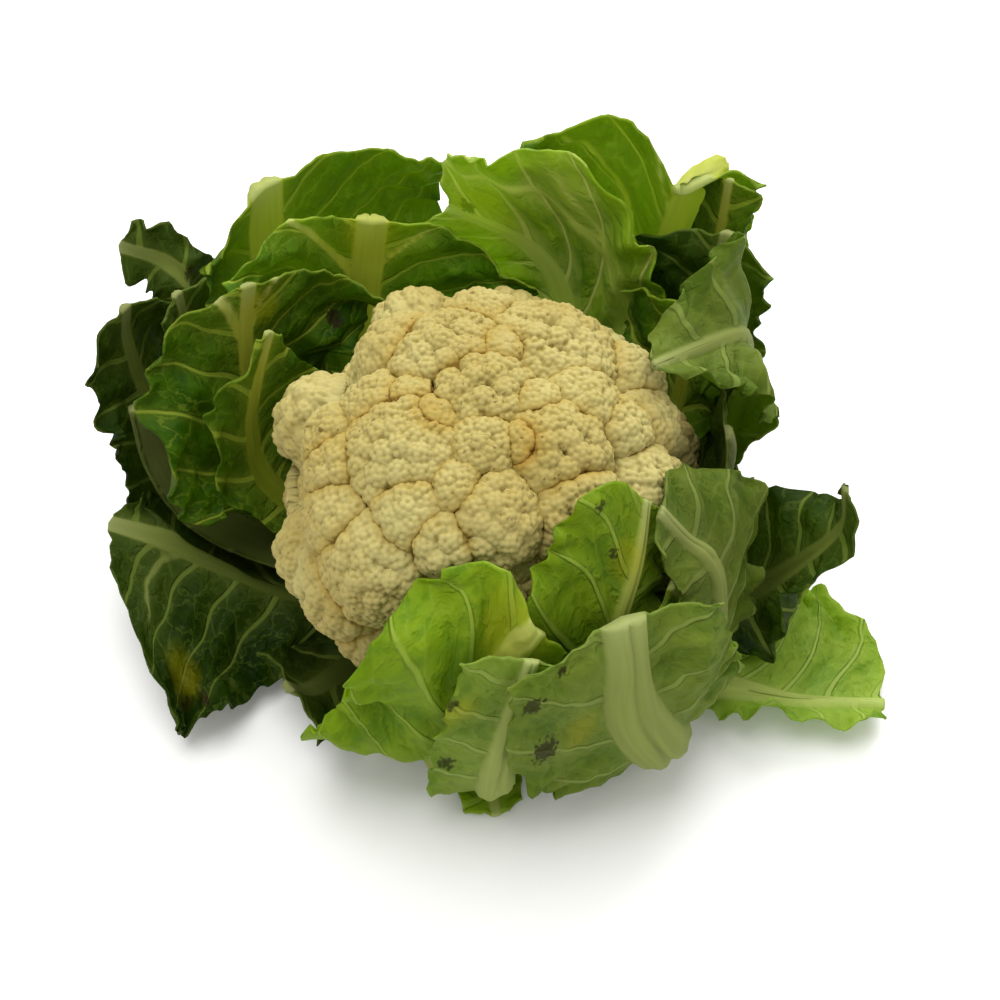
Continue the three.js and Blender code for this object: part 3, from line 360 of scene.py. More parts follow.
def operator(operation, turned=False):
    """A method that adds one Math node. Turned round, the value is the second one of the two."""
    return lambda value, *others: value.math(operation, *others, turned=turned)


class Value:
    """A socket of a shader, so that arithmetic on it adds the Math nodes that work it out."""

    def __init__(self, shader, socket):
        self.shader = shader
        self.socket = socket

    def __getitem__(self, name):
        return Value(self.shader, self.socket.node.outputs[name])

    def math(self, operation, *others, turned=False):
        values = [*others, self] if turned else [self, *others]
        return self.shader.node("Math", {"operation": operation}, dict(enumerate(values)))

    __add__ = __radd__ = operator("ADD")
    __sub__, __rsub__ = operator("SUBTRACT"), operator("SUBTRACT", turned=True)
    __mul__ = __rmul__ = operator("MULTIPLY")
    __truediv__ = operator("DIVIDE")
    __gt__ = operator("GREATER_THAN")
    __abs__ = operator("ABSOLUTE")
    sine, fraction, exponential, root = map(operator, ("SINE", "FRACT", "EXPONENT", "SQRT"))

    def clamped(self):
        return self.math("MAXIMUM", 0.0).math("MINIMUM", 1.0)


class Shader:
    """The nodes of one material."""

    def __init__(self, name):
        self.material = bpy.data.materials.new(name)
        self.material.use_nodes = True
        self.tree = self.material.node_tree
        self.tree.nodes.clear()

    def node(self, kind, settings=None, inputs=None, output=0):
        """Adds a node of a kind, with its settings first and then the values or links of its sockets."""
        made = self.tree.nodes.new("ShaderNode" + kind)
        for key, value in (settings or {}).items():
            setattr(made, key, value)
        for key, value in (inputs or {}).items():
            if isinstance(value, Value):
                self.tree.links.new(value.socket, made.inputs[key])
            elif made.inputs[key].type == "RGBA":
                made.inputs[key].default_value = (*value, 1.0)
            else:
                made.inputs[key].default_value = value
        return Value(self, made.outputs[output]) if made.outputs else None

    def attribute(self, name):
        return self.node("Attribute", {"attribute_name": name}, output="Fac")

    def ramp(self, value, low, high):
        """0 at low and 1 at high, eased at both ends. low may be the larger."""
        inputs = {0: value, 1: low, 2: high}
        return self.node("MapRange", {"interpolation_type": "SMOOTHSTEP"}, inputs)

    def mix(self, share, first, second):
        """A colour that goes from the first to the second. Sockets 6 and 7 and output 2 carry colours."""
        return self.node("Mix", {"data_type": "RGBA"}, {0: share, 6: first, 7: second}, output=2)

    def noise(self, place, scale, detail=2.0, roughness=0.5):
        inputs = {"Vector": place, "Scale": scale, "Detail": detail, "Roughness": roughness}
        return self.node("TexNoise", None, inputs)

    def net(self, place, scale):
        """The distance to the edges of a net of cells."""
        return self.node("TexVoronoi", {"feature": "DISTANCE_TO_EDGE"}, {"Vector": place, "Scale": scale})

    def surface(self, colour, roughness, height, relief, glow=None, **fixed):
        """The output: a skin with a bump in metres. glow is the share and the colour of light let through."""
        bump = self.node("Bump", None, {"Height": height, "Distance": relief, "Strength": 1.0})
        inputs = {"Base Color": colour, "Roughness": roughness, "Normal": bump}
        inputs.update({key.replace("_", " "): value for key, value in fixed.items()})
        skin = self.node("BsdfPrincipled", None, inputs)
        if glow is not None:
            through = self.node("BsdfTranslucent", None, {"Color": glow[1]})
            skin = self.node("MixShader", None, {0: glow[0], 1: skin, 2: through})
        self.node("OutputMaterial", None, {"Surface": skin})
        return self.material


# ---- curd ----


def dome_reach(from_top, azimuth):
    """How far the dome's surface lies from its centre, at angles in degrees down from the top and around."""
    angle = np.radians(from_top)
    tall = np.where(np.asarray(from_top) < 90, CURD_ABOVE, CURD_BELOW)
    flat = CURD_FLAT * np.maximum(0, np.cos(np.radians(azimuth - CURD_FLAT_AT))) ** 3
    return (1 - flat) / np.hypot(np.sin(angle) / CURD_RADIUS, np.cos(angle) / tall)


def make_lobe(from_top, azimuth, half):
    """The centre and radius of a lobe's sphere, and the half width that shows."""
    radius = half * LOBE_ROUND
    reach = dome_reach(from_top, azimuth) + half * 0.1 - radius
    angle = math.radians(from_top)
    centre = around(azimuth, reach * math.sin(angle), CURD_CENTRE + reach * math.cos(angle))
    return centre, radius, half


def all_lobes():
    """The lobes that are listed, then evenly spread ones wherever those leave room."""
    lobes = [make_lobe(*lobe) for lobe in LOBES]
    golden = 180 * (3 - math.sqrt(5))
    lowest = math.cos(math.radians(CURD_LOWEST))
    for i in range(FILL_COUNT):
        up = 1 - ((i + 0.5) / FILL_COUNT) * (1 - lowest)
        lobe = make_lobe(math.degrees(math.acos(up)), i * golden, FILL_HALF)
        if all(np.linalg.norm(o[0] - lobe[0]) > FILL_SPACING * (o[2] + lobe[2]) for o in lobes):
            lobes.append(lobe)
    centres = np.array([lobe[0] for lobe in lobes])
    radii = np.array([lobe[1] for lobe in lobes])
    return centres, radii


def sphere_reach(directions, origin, centres, radii):
    """How far each ray from the origin runs to the far side of each sphere, or 0 where it misses."""
    offsets = centres - origin
    middle = directions @ offsets.T
    spare = radii**2 - (np.sum(offsets**2, 1) - middle**2)
    return np.where(spare > 0, middle + np.sqrt(np.maximum(spare, 0)), 0)


def geodesic(splits):
    """Unit directions and triangles of an icosahedron whose faces are split evenly."""
    gold = (1 + math.sqrt(5)) / 2
    corners = np.array([np.roll((a, b, 0), k) for k in range(3) for b in (gold, -gold) for a in (-1, 1)])
    sides = [(0, 11, 5), (0, 5, 1), (0, 1, 7), (0, 7, 10), (0, 10, 11), (1, 5, 9), (5, 11, 4), (11, 10, 2)]
    sides += [(10, 7, 6), (7, 1, 8), (3, 9, 4), (3, 4, 2), (3, 2, 6), (3, 6, 8), (3, 8, 9), (4, 9, 5)]
    sides += [(2, 4, 11), (6, 2, 10), (8, 6, 7), (9, 8, 1)]
    steps = [(i, j) for i in range(splits + 1) for j in range(splits + 1 - i)]
    place = {step: k for k, step in enumerate(steps)}
    weights = np.array([(splits - i - j, i, j) for i, j in steps]) / splits
    cells = [(place[i, j], place[i + 1, j], place[i, j + 1]) for i, j in steps if i + j < splits]
    cells += [(place[i + 1, j], place[i + 1, j + 1], place[i, j + 1]) for i, j in steps if i + j < splits - 1]
    cells = np.array(cells)
    points = np.concatenate([weights @ corners[list(side)] for side in sides])
    triangles = np.concatenate([cells + k * len(steps) for k in range(len(sides))])
    _, first, same = np.unique(np.round(points, 5), axis=0, return_index=True, return_inverse=True)
    return unit(points[first]), same.ravel()[triangles]


def core_reach(directions):
    """How far the curd's foot reaches from its centre. Its outline narrows in steps of radius and height."""
    sideways = np.hypot(directions[:, 0], directions[:, 1])
    down = -directions[:, 2]
    foot = np.where(down > 1e-6, (CURD_CENTRE - STEM_TOP) / np.maximum(down, 1e-6), 1e9)
    outline = [(STEM_FLARE, STEM_TOP), (46, 55), (60, 62), (70, 72), (71, 80)]
    reach = np.where(foot * sideways <= STEM_FLARE, foot, 0)
    for (r0, z0), (r1, z1) in zip(outline, outline[1:]):
        slope = (r1 - r0) / (z1 - z0)
        spare = sideways + slope * down
        far = (r0 + slope * (CURD_CENTRE - z0)) / np.maximum(spare, 1e-6)
        height = CURD_CENTRE - far * down
        reach = np.where((height >= z0 - 0.01) & (height <= z1 + 0.01) & (spare > 1e-6), far, reach)
    return reach


def swell(points, triangles, apart, bare, size, wide, sunk, varied):
    """Raises a round mound about each of evenly spread seeds. Those on different lobes stay apart."""
    owner, near, second = nearest_seeds(points + apart, even_seeds(points + apart, size))
    mound = np.sqrt(np.maximum((wide * size) ** 2 - near**2, 0)) - sunk * size
    mound = mound * (0.6 + varied * chance(owner))
    return points + corner_normals(points, triangles) * (mound * bare)[:, None], near, second


def curd_points(directions, triangles, centres, radii, clusters, beads):
    """The beaded surface of the curd, and how deep each point lies among the beads and among the lobes."""
    origin = np.array([0, 0, CURD_CENTRE])
    reach = sphere_reach(directions, origin, centres, radii)
    order = np.argsort(reach, 1)
    rows = np.arange(len(reach))
    lobe = order[:, -1]
    far, next_far = reach[rows, lobe], reach[rows, order[:, -2]]
    core = core_reach(directions)
    from_top = np.degrees(np.arccos(directions[:, 2]))
    dome = dome_reach(from_top, np.degrees(np.arctan2(directions[:, 1], directions[:, 0])))
    branch = smooth_step(-1, 1, core - far) * smooth_step(108, 114, from_top)
    bare = 1 - branch
    crease = np.exp(-np.maximum(far - next_far, 0) / 2.5) * smooth_step(-1, 1, far - core)
    florets = smooth_step(112, 92, from_top)
    sunk = DEEPER * np.maximum(dome - DEEPER_FROM - far, 0) * florets
    far = np.maximum(far - sunk, DEEPEST * dome * florets)
    points = origin + directions * np.maximum(far, core)[:, None]
    apart = lobe[:, None] * np.array([LOBE_SHIFT, 0, 0])
    points, near, second = swell(points, triangles, apart, bare, clusters, wide=0.68, sunk=0.45, varied=0.5)
    split = np.exp(-(second - near) / (0.12 * clusters)) * bare
    points, near, _ = swell(points, triangles, apart, bare, beads, wide=0.66, sunk=0.4, varied=0.25)
    cavity = smooth_step(0.3 * beads, 0.62 * beads, near) * bare
    return points, cavity, np.clip(crease + 0.2 * split, 0, 1), branch


def curd_material(settings):
    shader = Shader("beaded curd")
    place = shader.node("TexCoord", output="Object")
    patches = shader.noise(place, 24.0, 2.0)
    blotches = shader.noise(place, 110.0, 2.0)
    colour = shader.mix(shader.ramp(patches, 0.35, 0.7), settings.cream, paint(158, 143, 82))
    cavity = shader.attribute("cavity")
    valley = shader.attribute("valley")
    # Painted shade in the hollows between the beads, in patches.
    colour = shader.mix(cavity * shader.ramp(blotches, 0.1, 0.7) * 0.5, colour, paint(146, 126, 50))
    # Painted shade, with some of the curd's own warmer colour, in the creases between the lobes.
    colour = shader.mix(shader.ramp(valley, 0.1, 0.9) * 0.6, colour, paint(150, 122, 40))
    # Warm painted shade deep in the crevices between the lobes, partly the curd's own warmer colour there.
    crevice_tint_and_shade = shader.ramp(valley + (patches - 0.5) * 1.2, 0.85, 1.25)
    colour = shader.mix(crevice_tint_and_shade * 0.45, colour, settings.crevice)
    specks = shader.noise(place, 420.0, 1.0)
    speck = shader.ramp(specks, 0.69, 0.73) * shader.ramp(patches, 0.5, 0.62)
    colour = shader.mix(speck * 0.7, colour, paint(92, 70, 34))
    colour = shader.mix(shader.attribute("branch"), colour, paint(166, 174, 112))
    roughness = 0.6 + 0.16 * cavity + (blotches - 0.5) * 0.2
    return shader.surface(colour, roughness, specks, 0.0002, Specular_IOR_Level=0.16)


def colour_property(name, description, default):
    settings = {"default": default, "subtype": "COLOR", "min": 0, "max": 1}
    return FloatVectorProperty(name=name, description=description, **settings)


def length_property(name, description, default, least, most):
    settings = {"default": default, "min": least, "max": most, "unit": "LENGTH"}
    return FloatProperty(name=name, description=description, **settings)


class CurdSettings(bpy.types.PropertyGroup):
    """Sizes and colours of the curd."""

    clusters: length_property("Clusters", "Size of the clusters of beads", 0.0085, 0.004, 0.02)
    beads: length_property("Beads", "Size of one bead", 0.0024, 0.0015, 0.006)
    splits: IntProperty(name="Splits", description="Facets along a side of the ball", default=138, min=10)
    cream: colour_property("Cream", "Colour of the beads", paint(171, 161, 102))
    # Colour of the warm painted shade deep in the crevices, partly the curd's own warmer colour.
    crevice: colour_property("Crevice", "Colour deep between the lobes", paint(150, 100, 24))


class HEAD_OT_curd(bpy.types.Operator):
    """Make the curd with its lobes, clusters and beads"""

    bl_idname = "cauliflower.curd"
    bl_label = "Make Curd"

    def execute(self, context):
        settings = context.scene.cauliflower_curd
        directions, triangles = geodesic(settings.splits)
        front = directions @ FACING
        directions = unit(directions + CROWDING * FACING)
        centres, radii = all_lobes()
        points, cavity, valley, branch = curd_points(
            directions, triangles, centres, radii, settings.clusters / MM, settings.beads / MM
        )
        material = curd_material(settings)
        ahead = front[triangles].mean(1) > 0
        for name, part in (("curd_front", triangles[ahead]), ("curd_back", triangles[~ahead])):
            used, corners = np.unique(part, return_inverse=True)
            values = {"cavity": cavity[used], "valley": valley[used], "branch": branch[used]}
            piece = add_mesh(name, points[used], [corners.reshape(-1, 3)], values)
            finish_piece(piece, "curd", "curd", material)
        return {"FINISHED"}


# ---- stem ----


def stem_material(settings):
    shader = Shader("cut stem")
    place = shader.node("TexCoord", output="Object")
    parts = shader.node("SeparateXYZ", None, {0: place})
    x, y, z = parts["X"] * 1000.0, parts["Y"] * 1000.0, parts["Z"] * 1000.0
    distance = (x * x + y * y).root()
    face = shader.ramp(z, 1.0, 0.2)
    fibres = shader.noise(place, 260.0, 3.0)
    bark = shader.mix(shader.ramp(fibres, 0.3, 0.7), settings.skin, paint(206, 212, 164))
    ring = shader.ramp(abs(distance - 19.0), 2.6, 0.6)
    pith = shader.mix(ring * 0.6, paint(226, 226, 192), paint(176, 184, 124))
    pith = shader.mix(shader.ramp(fibres, 0.5, 0.8) * 0.5, pith, paint(190, 170, 116))
    colour = shader.mix(face, bark, pith)
    return shader.surface(colour, 0.5 + 0.2 * fibres, fibres, 0.0004, Specular_IOR_Level=0.3)


class StemSettings(bpy.types.PropertyGroup):
    """Colour of the stem."""

    skin: colour_property("Skin", "Colour of the stem's skin", paint(178, 194, 130))


class HEAD_OT_stem(bpy.types.Operator):
    """Make the short stem with its cut face"""

    bl_idname = "cauliflower.stem"
    bl_label = "Make Stem"

    def execute(self, context):
        rows, sides = 30, 96
        profile = [(STEM_RADIUS - inset, height) for inset, height in ((6, 0), (2, 0), (0.6, 0.8), (0, 3))]
        heights = np.linspace(6, STEM_TOP - 0.4, rows)
        flare = (STEM_FLARE - STEM_RADIUS) * smooth_step(36, 50, heights)
        profile += list(zip(STEM_RADIUS - 0.4 + flare, heights))
        turn = np.linspace(0, math.tau, sides, endpoint=False)
        rings = []
        for radius, height in profile:
            scars = 0.5 * np.sin(5 * turn + height * 0.4) + 0.3 * np.sin(11 * turn - height * 0.7)
            ring = radius + (scars - 0.6) * smooth_step(0.5, 6, height) * smooth_step(50, 42, height)
            rings.append(around(np.degrees(turn), ring, np.full(sides, height)))
        points = np.concatenate([[(0, 0, 0)], *rings, [(0, 0, STEM_TOP - 0.4)]])
        here = np.arange(sides)
        after = (here + 1) % sides
        last = 1 + (len(rings) - 1) * sides
        low, high = 1 + here, 1 + after
        band = np.stack([low, high, high + sides, low + sides], 1)
        walls = [band + k * sides for k in range(len(rings) - 1)]
        bottom = np.stack([np.zeros(sides, int), high, low], 1)
        top = np.stack([np.full(sides, len(points) - 1), last + here, last + after], 1)
        piece = add_mesh("stem_cut", points, [np.concatenate(walls), bottom, top], {})
        finish_piece(piece, "stem", "stem", stem_material(context.scene.cauliflower_stem))
        return {"FINISHED"}


# ---- layering of the leaves ----

CELL = 3  # degrees of azimuth and of angle from the top that each cell of the layer map spans
COLUMNS, RINGS = 360 // CELL, 180 // CELL


def neighbours(values, combine):
    """Combines each cell of the map with the eight around it."""
    rows = np.clip(np.arange(-1, RINGS + 1), 0, RINGS - 1)
    padded = values[rows][:, np.arange(-1, COLUMNS + 1) % COLUMNS]
    shifted = [padded[i : i + RINGS, j : j + COLUMNS] for i in range(3) for j in range(3)]
    return combine(np.stack(shifted), axis=0)


class LayerMap:
    """How far from the hub the leaves laid so far reach, in each direction."""

    def __init__(self):
        self.centres, self.radii = all_lobes()
        self.reach = np.zeros((RINGS, COLUMNS))
        self.hub = np.array([0, 0, HUB])

    def skin(self, directions):
        """The distance from the hub to the far side of the curd or the stem."""
        far = sphere_reach(directions, self.hub, self.centres, self.radii + SKIN_GAP).max(1)
        sideways = np.hypot(directions[:, 0], directions[:, 1])
        down = np.maximum(-directions[:, 2], 1e-9)
        stem = np.minimum((STEM_RADIUS + 1 + SKIN_GAP) / sideways, HUB / down)
        return np.maximum(far, np.where(directions[:, 2] < 0, stem, 0))

    def least(self, directions):
        """The distance from the hub that a point in each direction must keep."""
        column = np.degrees(np.arctan2(directions[:, 1], directions[:, 0])) / CELL - 0.5
        ring = np.degrees(np.arccos(np.clip(directions[:, 2], -1, 1))) / CELL - 0.5
        c, r = np.floor(column).astype(int), np.floor(ring).astype(int)
        u, v = column - c, ring - r

        def at(dr, dc):
            return self.reach[np.clip(r + dr, 0, RINGS - 1), (c + dc) % COLUMNS]

        near = at(0, 0) * (1 - u) + at(0, 1) * u
        beyond = at(1, 0) * (1 - u) + at(1, 1) * u
        leaves = near * (1 - v) + beyond * v
        return np.maximum(self.skin(directions), np.where(leaves > 0, leaves + LAYER_GAP, 0))

    def add(self, points):
        """Marks a leaf's points, spread by one cell and smoothed, as taken."""
        offset = points - self.hub
        far = np.linalg.norm(offset, axis=1)
        column = np.floor(np.degrees(np.arctan2(offset[:, 1], offset[:, 0])) / CELL).astype(int) % COLUMNS
        ring = np.floor(np.degrees(np.arccos(offset[:, 2] / far)) / CELL).astype(int)
        raw = np.zeros((RINGS, COLUMNS))
        np.maximum.at(raw, (np.clip(ring, 0, RINGS - 1), column), far)
        wide = neighbours(raw, np.max)
        smooth = neighbours(wide, np.mean)
        self.reach = np.maximum(self.reach, np.where(wide > 0, np.maximum(smooth, raw), smooth))


# ---- leaves ----


class Rib:
    """A smooth line through a leaf's rib points, measured by its length."""

    def __init__(self, points):
        points = np.array([around(*p) for p in points], float)
        ends = [2 * points[0] - points[1]], [2 * points[-1] - points[-2]]
        self.points = np.concatenate([ends[0], points, ends[1]])
        self.t = np.linspace(0, 1, 201)
        steps = np.linalg.norm(np.diff(self.at(self.t)[0], axis=0), axis=1)
        self.run = np.concatenate([[0], np.cumsum(steps)])
        self.length = self.run[-1]

    def at(self, t):
        """Points and directions at t."""
        last = len(self.points) - 3
        x = np.clip(t, 0, 1) * last
        i = np.minimum(np.floor(x).astype(int), last - 1)
        f = (x - i)[:, None]
        p0, p1, p2, p3 = (self.points[i + k] for k in range(4))
        m1, m2 = (p2 - p0) / 2, (p3 - p1) / 2
        a, b = 2 * p1 - 2 * p2 + m1 + m2, -3 * p1 + 3 * p2 - 2 * m1 - m2
        return p1 + f * (m1 + f * (b + f * a)), unit(m1 + f * (2 * b + 3 * f * a))

    def frame(self, s, turn):
        """The rib's point, its direction, the direction of the inner face and the one across, at s."""
        t = np.minimum(s, 1)
        point, forward = self.at(np.interp(t * self.length, self.run, self.t))
        point = point + forward * ((s - t) * self.length)[:, None]
        inward = np.array([0, 0, CURD_CENTRE]) - point
        inward = unit(inward - forward * np.sum(inward * forward, -1, keepdims=True))
        angle = math.radians(turn)
        inward = inward * math.cos(angle) + np.cross(forward, inward) * math.sin(angle)
        return point, forward, inward, np.cross(inward, forward)


def vein_phase(x, y, number, spacing, sine=np.sin):
    """Counts the side veins: it is a whole number on each of them. x runs along the rib, y across it."""
    out = abs(y)
    wander = 2.2 * sine(x / 19.0 + number) + 1.8 * sine(y / 13.0 + number * 1.7)
    wander = wander + 1.1 * sine(y / 4.7 + x / 13.0)
    return (x - 0.62 * out - 0.0028 * out * out + wander) / spacing + 0.5 * (y > 0.0)


class LeafShape:
    """The surface that a leaf's inner face follows, before it is laid over the others."""

    def __init__(self, leaf, number, spacing):
        self.leaf = leaf
        self.number = number
        self.spacing = spacing
        self.rib = Rib(leaf["rib"])

    def rib_half(self, s):
        return along(self.leaf["half"], s)

    def width(self, s, side):
        return np.maximum(along(side["width"], s), self.rib_half(s) + BLADE_LEAST)

    def off_rib(self, s, y):
        """How far a point lies outside the rib and its branches, or how deep inside them if below 0."""
        gap = np.abs(y) - self.rib_half(s)
        x = s * self.rib.length
        for points, first, last in self.leaf["forks"]:
            halves = np.linspace(first, last, len(points))
            for (s0, y0), (s1, y1), h0, h1 in zip(points, points[1:], halves, halves[1:]):
                run, rise = (s1 - s0) * self.rib.length, y1 - y0
                t = np.clip(((x - s0 * self.rib.length) * run + (y - y0) * rise) / (run**2 + rise**2), 0, 1)
                away = np.hypot(x - s0 * self.rib.length - t * run, y - y0 - t * rise)
                gap = np.minimum(gap, away - h0 - (h1 - h0) * t)
        return gap

    def crumple(self, x, y):
        """Slow dents and bulges of the blade."""
        total = 0
        for k in range(1, 5):
            heading = math.tau * chance(self.number * 17 + k)
            phase = math.tau * chance(self.number * 31 + k + 9)
            pitch = math.tau / (22 + 14 * k)
            total = total + np.sin(pitch * (x * np.cos(heading) + y * np.sin(heading)) + phase)
        return total / 2 * self.leaf["crumple"]

    def puckers(self, x, y, out):
        """The blade's swelling between its side veins, and the finer frill of its edge."""
        swell = -np.cos(math.tau * vein_phase(x, y, self.number, self.spacing)) * np.clip(out * 3, 0, 1)
        fine = np.sin(x / 3.1 + 2 * np.sin(y / 5 + self.number)) * np.sin(y / 2.7 + self.number)
        frill = out**4 * np.sin(x / 2.2 + 1.8 * np.sin(x / 7 + self.number) + y / 9)
        frill = frill * (0.7 + 0.6 * np.sin(x / 11 + 2 * self.number))
        small = min(self.leaf["crumple"], 2.0) / 2
        edge = (1.3 + 0.45 * self.leaf["ruffle"]) * frill
        return small * (1.5 * swell + 0.8 * fine * np.clip(out * 2, 0, 1)) + edge

    def point(self, s, y, sign, side):
        """Points of the inner face at s along the rib and y across, on the side with this sign."""
        leaf, length = self.leaf, self.rib.length
        out = y / self.width(s, side)
        reach = along(side["top"], out) * s * s
        nicks = 1.2 * ripple(y * 1.3, self.number + 5 * sign) + 0.8 * np.abs(np.sin(y / 2.5 + self.number))
        reach = reach - nicks * s**12 * (y > self.rib_half(s))
        point, forward, inward, across = self.rib.frame(s + reach / length, leaf["turn"])
        distance = np.hypot(point[:, 0], point[:, 1])
        wrap = np.maximum(0, forward[:, 2]) / np.maximum(distance, 40)
        lift = np.radians(along(side["lift"], s))
        curl = np.radians(along(side["curl"], s)) / 10 + wrap
        curl = np.where(np.abs(curl) < 1e-5, 1e-5, curl)
        angle = lift + curl * y
        over, up = (np.sin(angle) - np.sin(lift)) / curl, (np.cos(lift) - np.cos(angle)) / curl
        point = point + across * (sign * over)[:, None] + inward * up[:, None]
        phase = math.tau * chance(self.number * 7 + sign)
        edge = leaf["ruffle"] * out * out * np.sin(math.tau * leaf["waves"] * s + phase)
        grown = np.minimum(1, s * 2)
        dent = self.crumple(s * length, sign * y) * np.minimum(1, out * 1.5) * grown
        fine = self.puckers(s * length, sign * y, out) * grown * smooth_step(0, 7, y - self.rib_half(s))
        normal = inward * np.cos(angle)[:, None] - across * (sign * np.sin(angle))[:, None]
        return point + normal * (edge + dent + fine)[:, None]

    def thickness(self, s, y, blade):
        """The blade's thickness, and the rib's rounded and grooved back."""
        share = np.minimum(np.abs(y) / self.rib_half(s), 1)
        grooves = 1 - 0.22 * (1 - share) * np.cos(share * 3 * math.pi)
        branch = np.clip(-self.off_rib(s, y), 0, 1.5) * (share >= 1)
        return blade + (along(self.leaf["deep"], s) - blade) * np.sqrt(1 - share**2) * grooves + 0.7 * branch


def leaf_grid(shape, step):
    """Rows along the leaf and stations across it: s and the signed distance across, closer near the edge."""
    rows = max(12, round(shape.rib.length / step))
    s = np.linspace(0, 1, rows + 1)
    widest = max(max(shape.leaf[k]["width"]) for k in ("ccw", "cw"))
    cells = max(6, round(widest / step * 0.55))
    sides = []
    for sign, key in ((-1, "cw"), (1, "ccw")):
        side = shape.leaf[key]
        rib, width = shape.rib_half(s)[:, None], shape.width(s, side)[:, None]
        x = s * shape.rib.length
        teeth = 0.7 + 1.8 * ripple(x, shape.number + sign) + 1.5 * np.abs(np.sin(x / 2.8 + ripple(x, sign)))
        teeth = np.maximum(teeth, -1) * smooth_step(10, 16, width[:, 0])
        on_rib = rib * np.arange(RIB_CELLS) / RIB_CELLS
        share = 1 - (1 - np.arange(cells + 1) / cells) ** 1.25
        on_blade = rib + (width - rib - teeth[:, None]) * share
        sides.append(np.concatenate([on_rib, on_blade], 1))
    across = np.concatenate([-sides[0][:, :0:-1], sides[1]], 1)
    return np.broadcast_to(s[:, None], across.shape), across


def spread(pushes, passes):
    """Eases off around each push: no point is pushed less than its neighbours are on average."""
    for _ in range(passes):
        framed = np.pad(pushes, 1, mode="reflect")
        around_it = (framed[:-2, 1:-1] + framed[2:, 1:-1] + framed[1:-1, :-2] + framed[1:-1, 2:]) / 4
        pushes = np.maximum(pushes, around_it)
    return pushes


def lay_leaf(shape, layers, step, blade):
    """The two faces of a leaf, laid over what is already there, with what its finish needs to know."""
    s, across = leaf_grid(shape, step)
    inner = np.empty(across.shape + (3,))
    out = np.empty(across.shape)
    for sign, key in ((-1, "cw"), (1, "ccw")):
        part = across < 0 if sign < 0 else across >= 0
        side = shape.leaf[key]
        inner[part] = shape.point(s[part], np.abs(across[part]), sign, side)
        out[part] = np.abs(across[part]) / shape.width(s[part], side)
    thick = shape.thickness(s, across, blade)
    offset = inner.reshape(-1, 3) - layers.hub
    far = np.linalg.norm(offset, axis=1)
    direction = offset / far[:, None]
    pushes = (soft_max(far, layers.least(direction), LAY_ROUNDING) - far).reshape(s.shape)
    inner = inner + direction.reshape(inner.shape) * spread(pushes, LAY_PASSES)[..., None]
    inner[..., 2] = soft_max(inner[..., 2], thick + FLOOR_GAP, 2)
    normal = unit(np.cross(np.gradient(inner, axis=0), np.gradient(inner, axis=1)))
    outer = inner - normal * thick[..., None]
    outer[..., 2] = np.maximum(outer[..., 2], FLOOR_GAP)
    return s, across, out, inner, outer


def sheet_faces(rows, columns):
    """The faces of a closed sheet: its inner face, its outer face and the strip round its rim."""
    grid = np.arange(rows * columns).reshape(rows, columns)
    corners = [part.ravel() for part in (grid[:-1, :-1], grid[1:, :-1], grid[1:, 1:], grid[:-1, 1:])]
    rim = np.concatenate([grid[:-1, 0], grid[-1, :-1], grid[:0:-1, -1], grid[0, :0:-1]])
    ahead, back = np.roll(rim, -1), rows * columns
    strip = np.stack([ahead, rim, rim + back, ahead + back], 1)
    return [np.stack(corners, 1), np.stack(corners[:1] + corners[:0:-1], 1) + back, strip]


# Colours of a leaf's inner face, in shade and in light, then of its outer face, then of its veins and rib.
TINTS = {
    "sunlit": ((82, 120, 4), (126, 156, 10), (96, 132, 22), (126, 156, 34), (204, 212, 112), (200, 206, 108)),
    "green": ((48, 92, 2), (82, 126, 8), (84, 120, 26), (112, 142, 38), (168, 188, 60), (200, 202, 64)),
    "dark": ((30, 62, 4), (56, 90, 12), (50, 84, 18), (76, 108, 30), (140, 162, 66), (150, 164, 74)),
    "pale": ((74, 112, 14), (102, 138, 24), (98, 128, 34), (130, 150, 48), (152, 170, 80), (158, 168, 88)),
    "open": ((92, 128, 4), (132, 160, 12), (94, 130, 10), (130, 158, 18), (154, 178, 62), (164, 172, 74)),
}


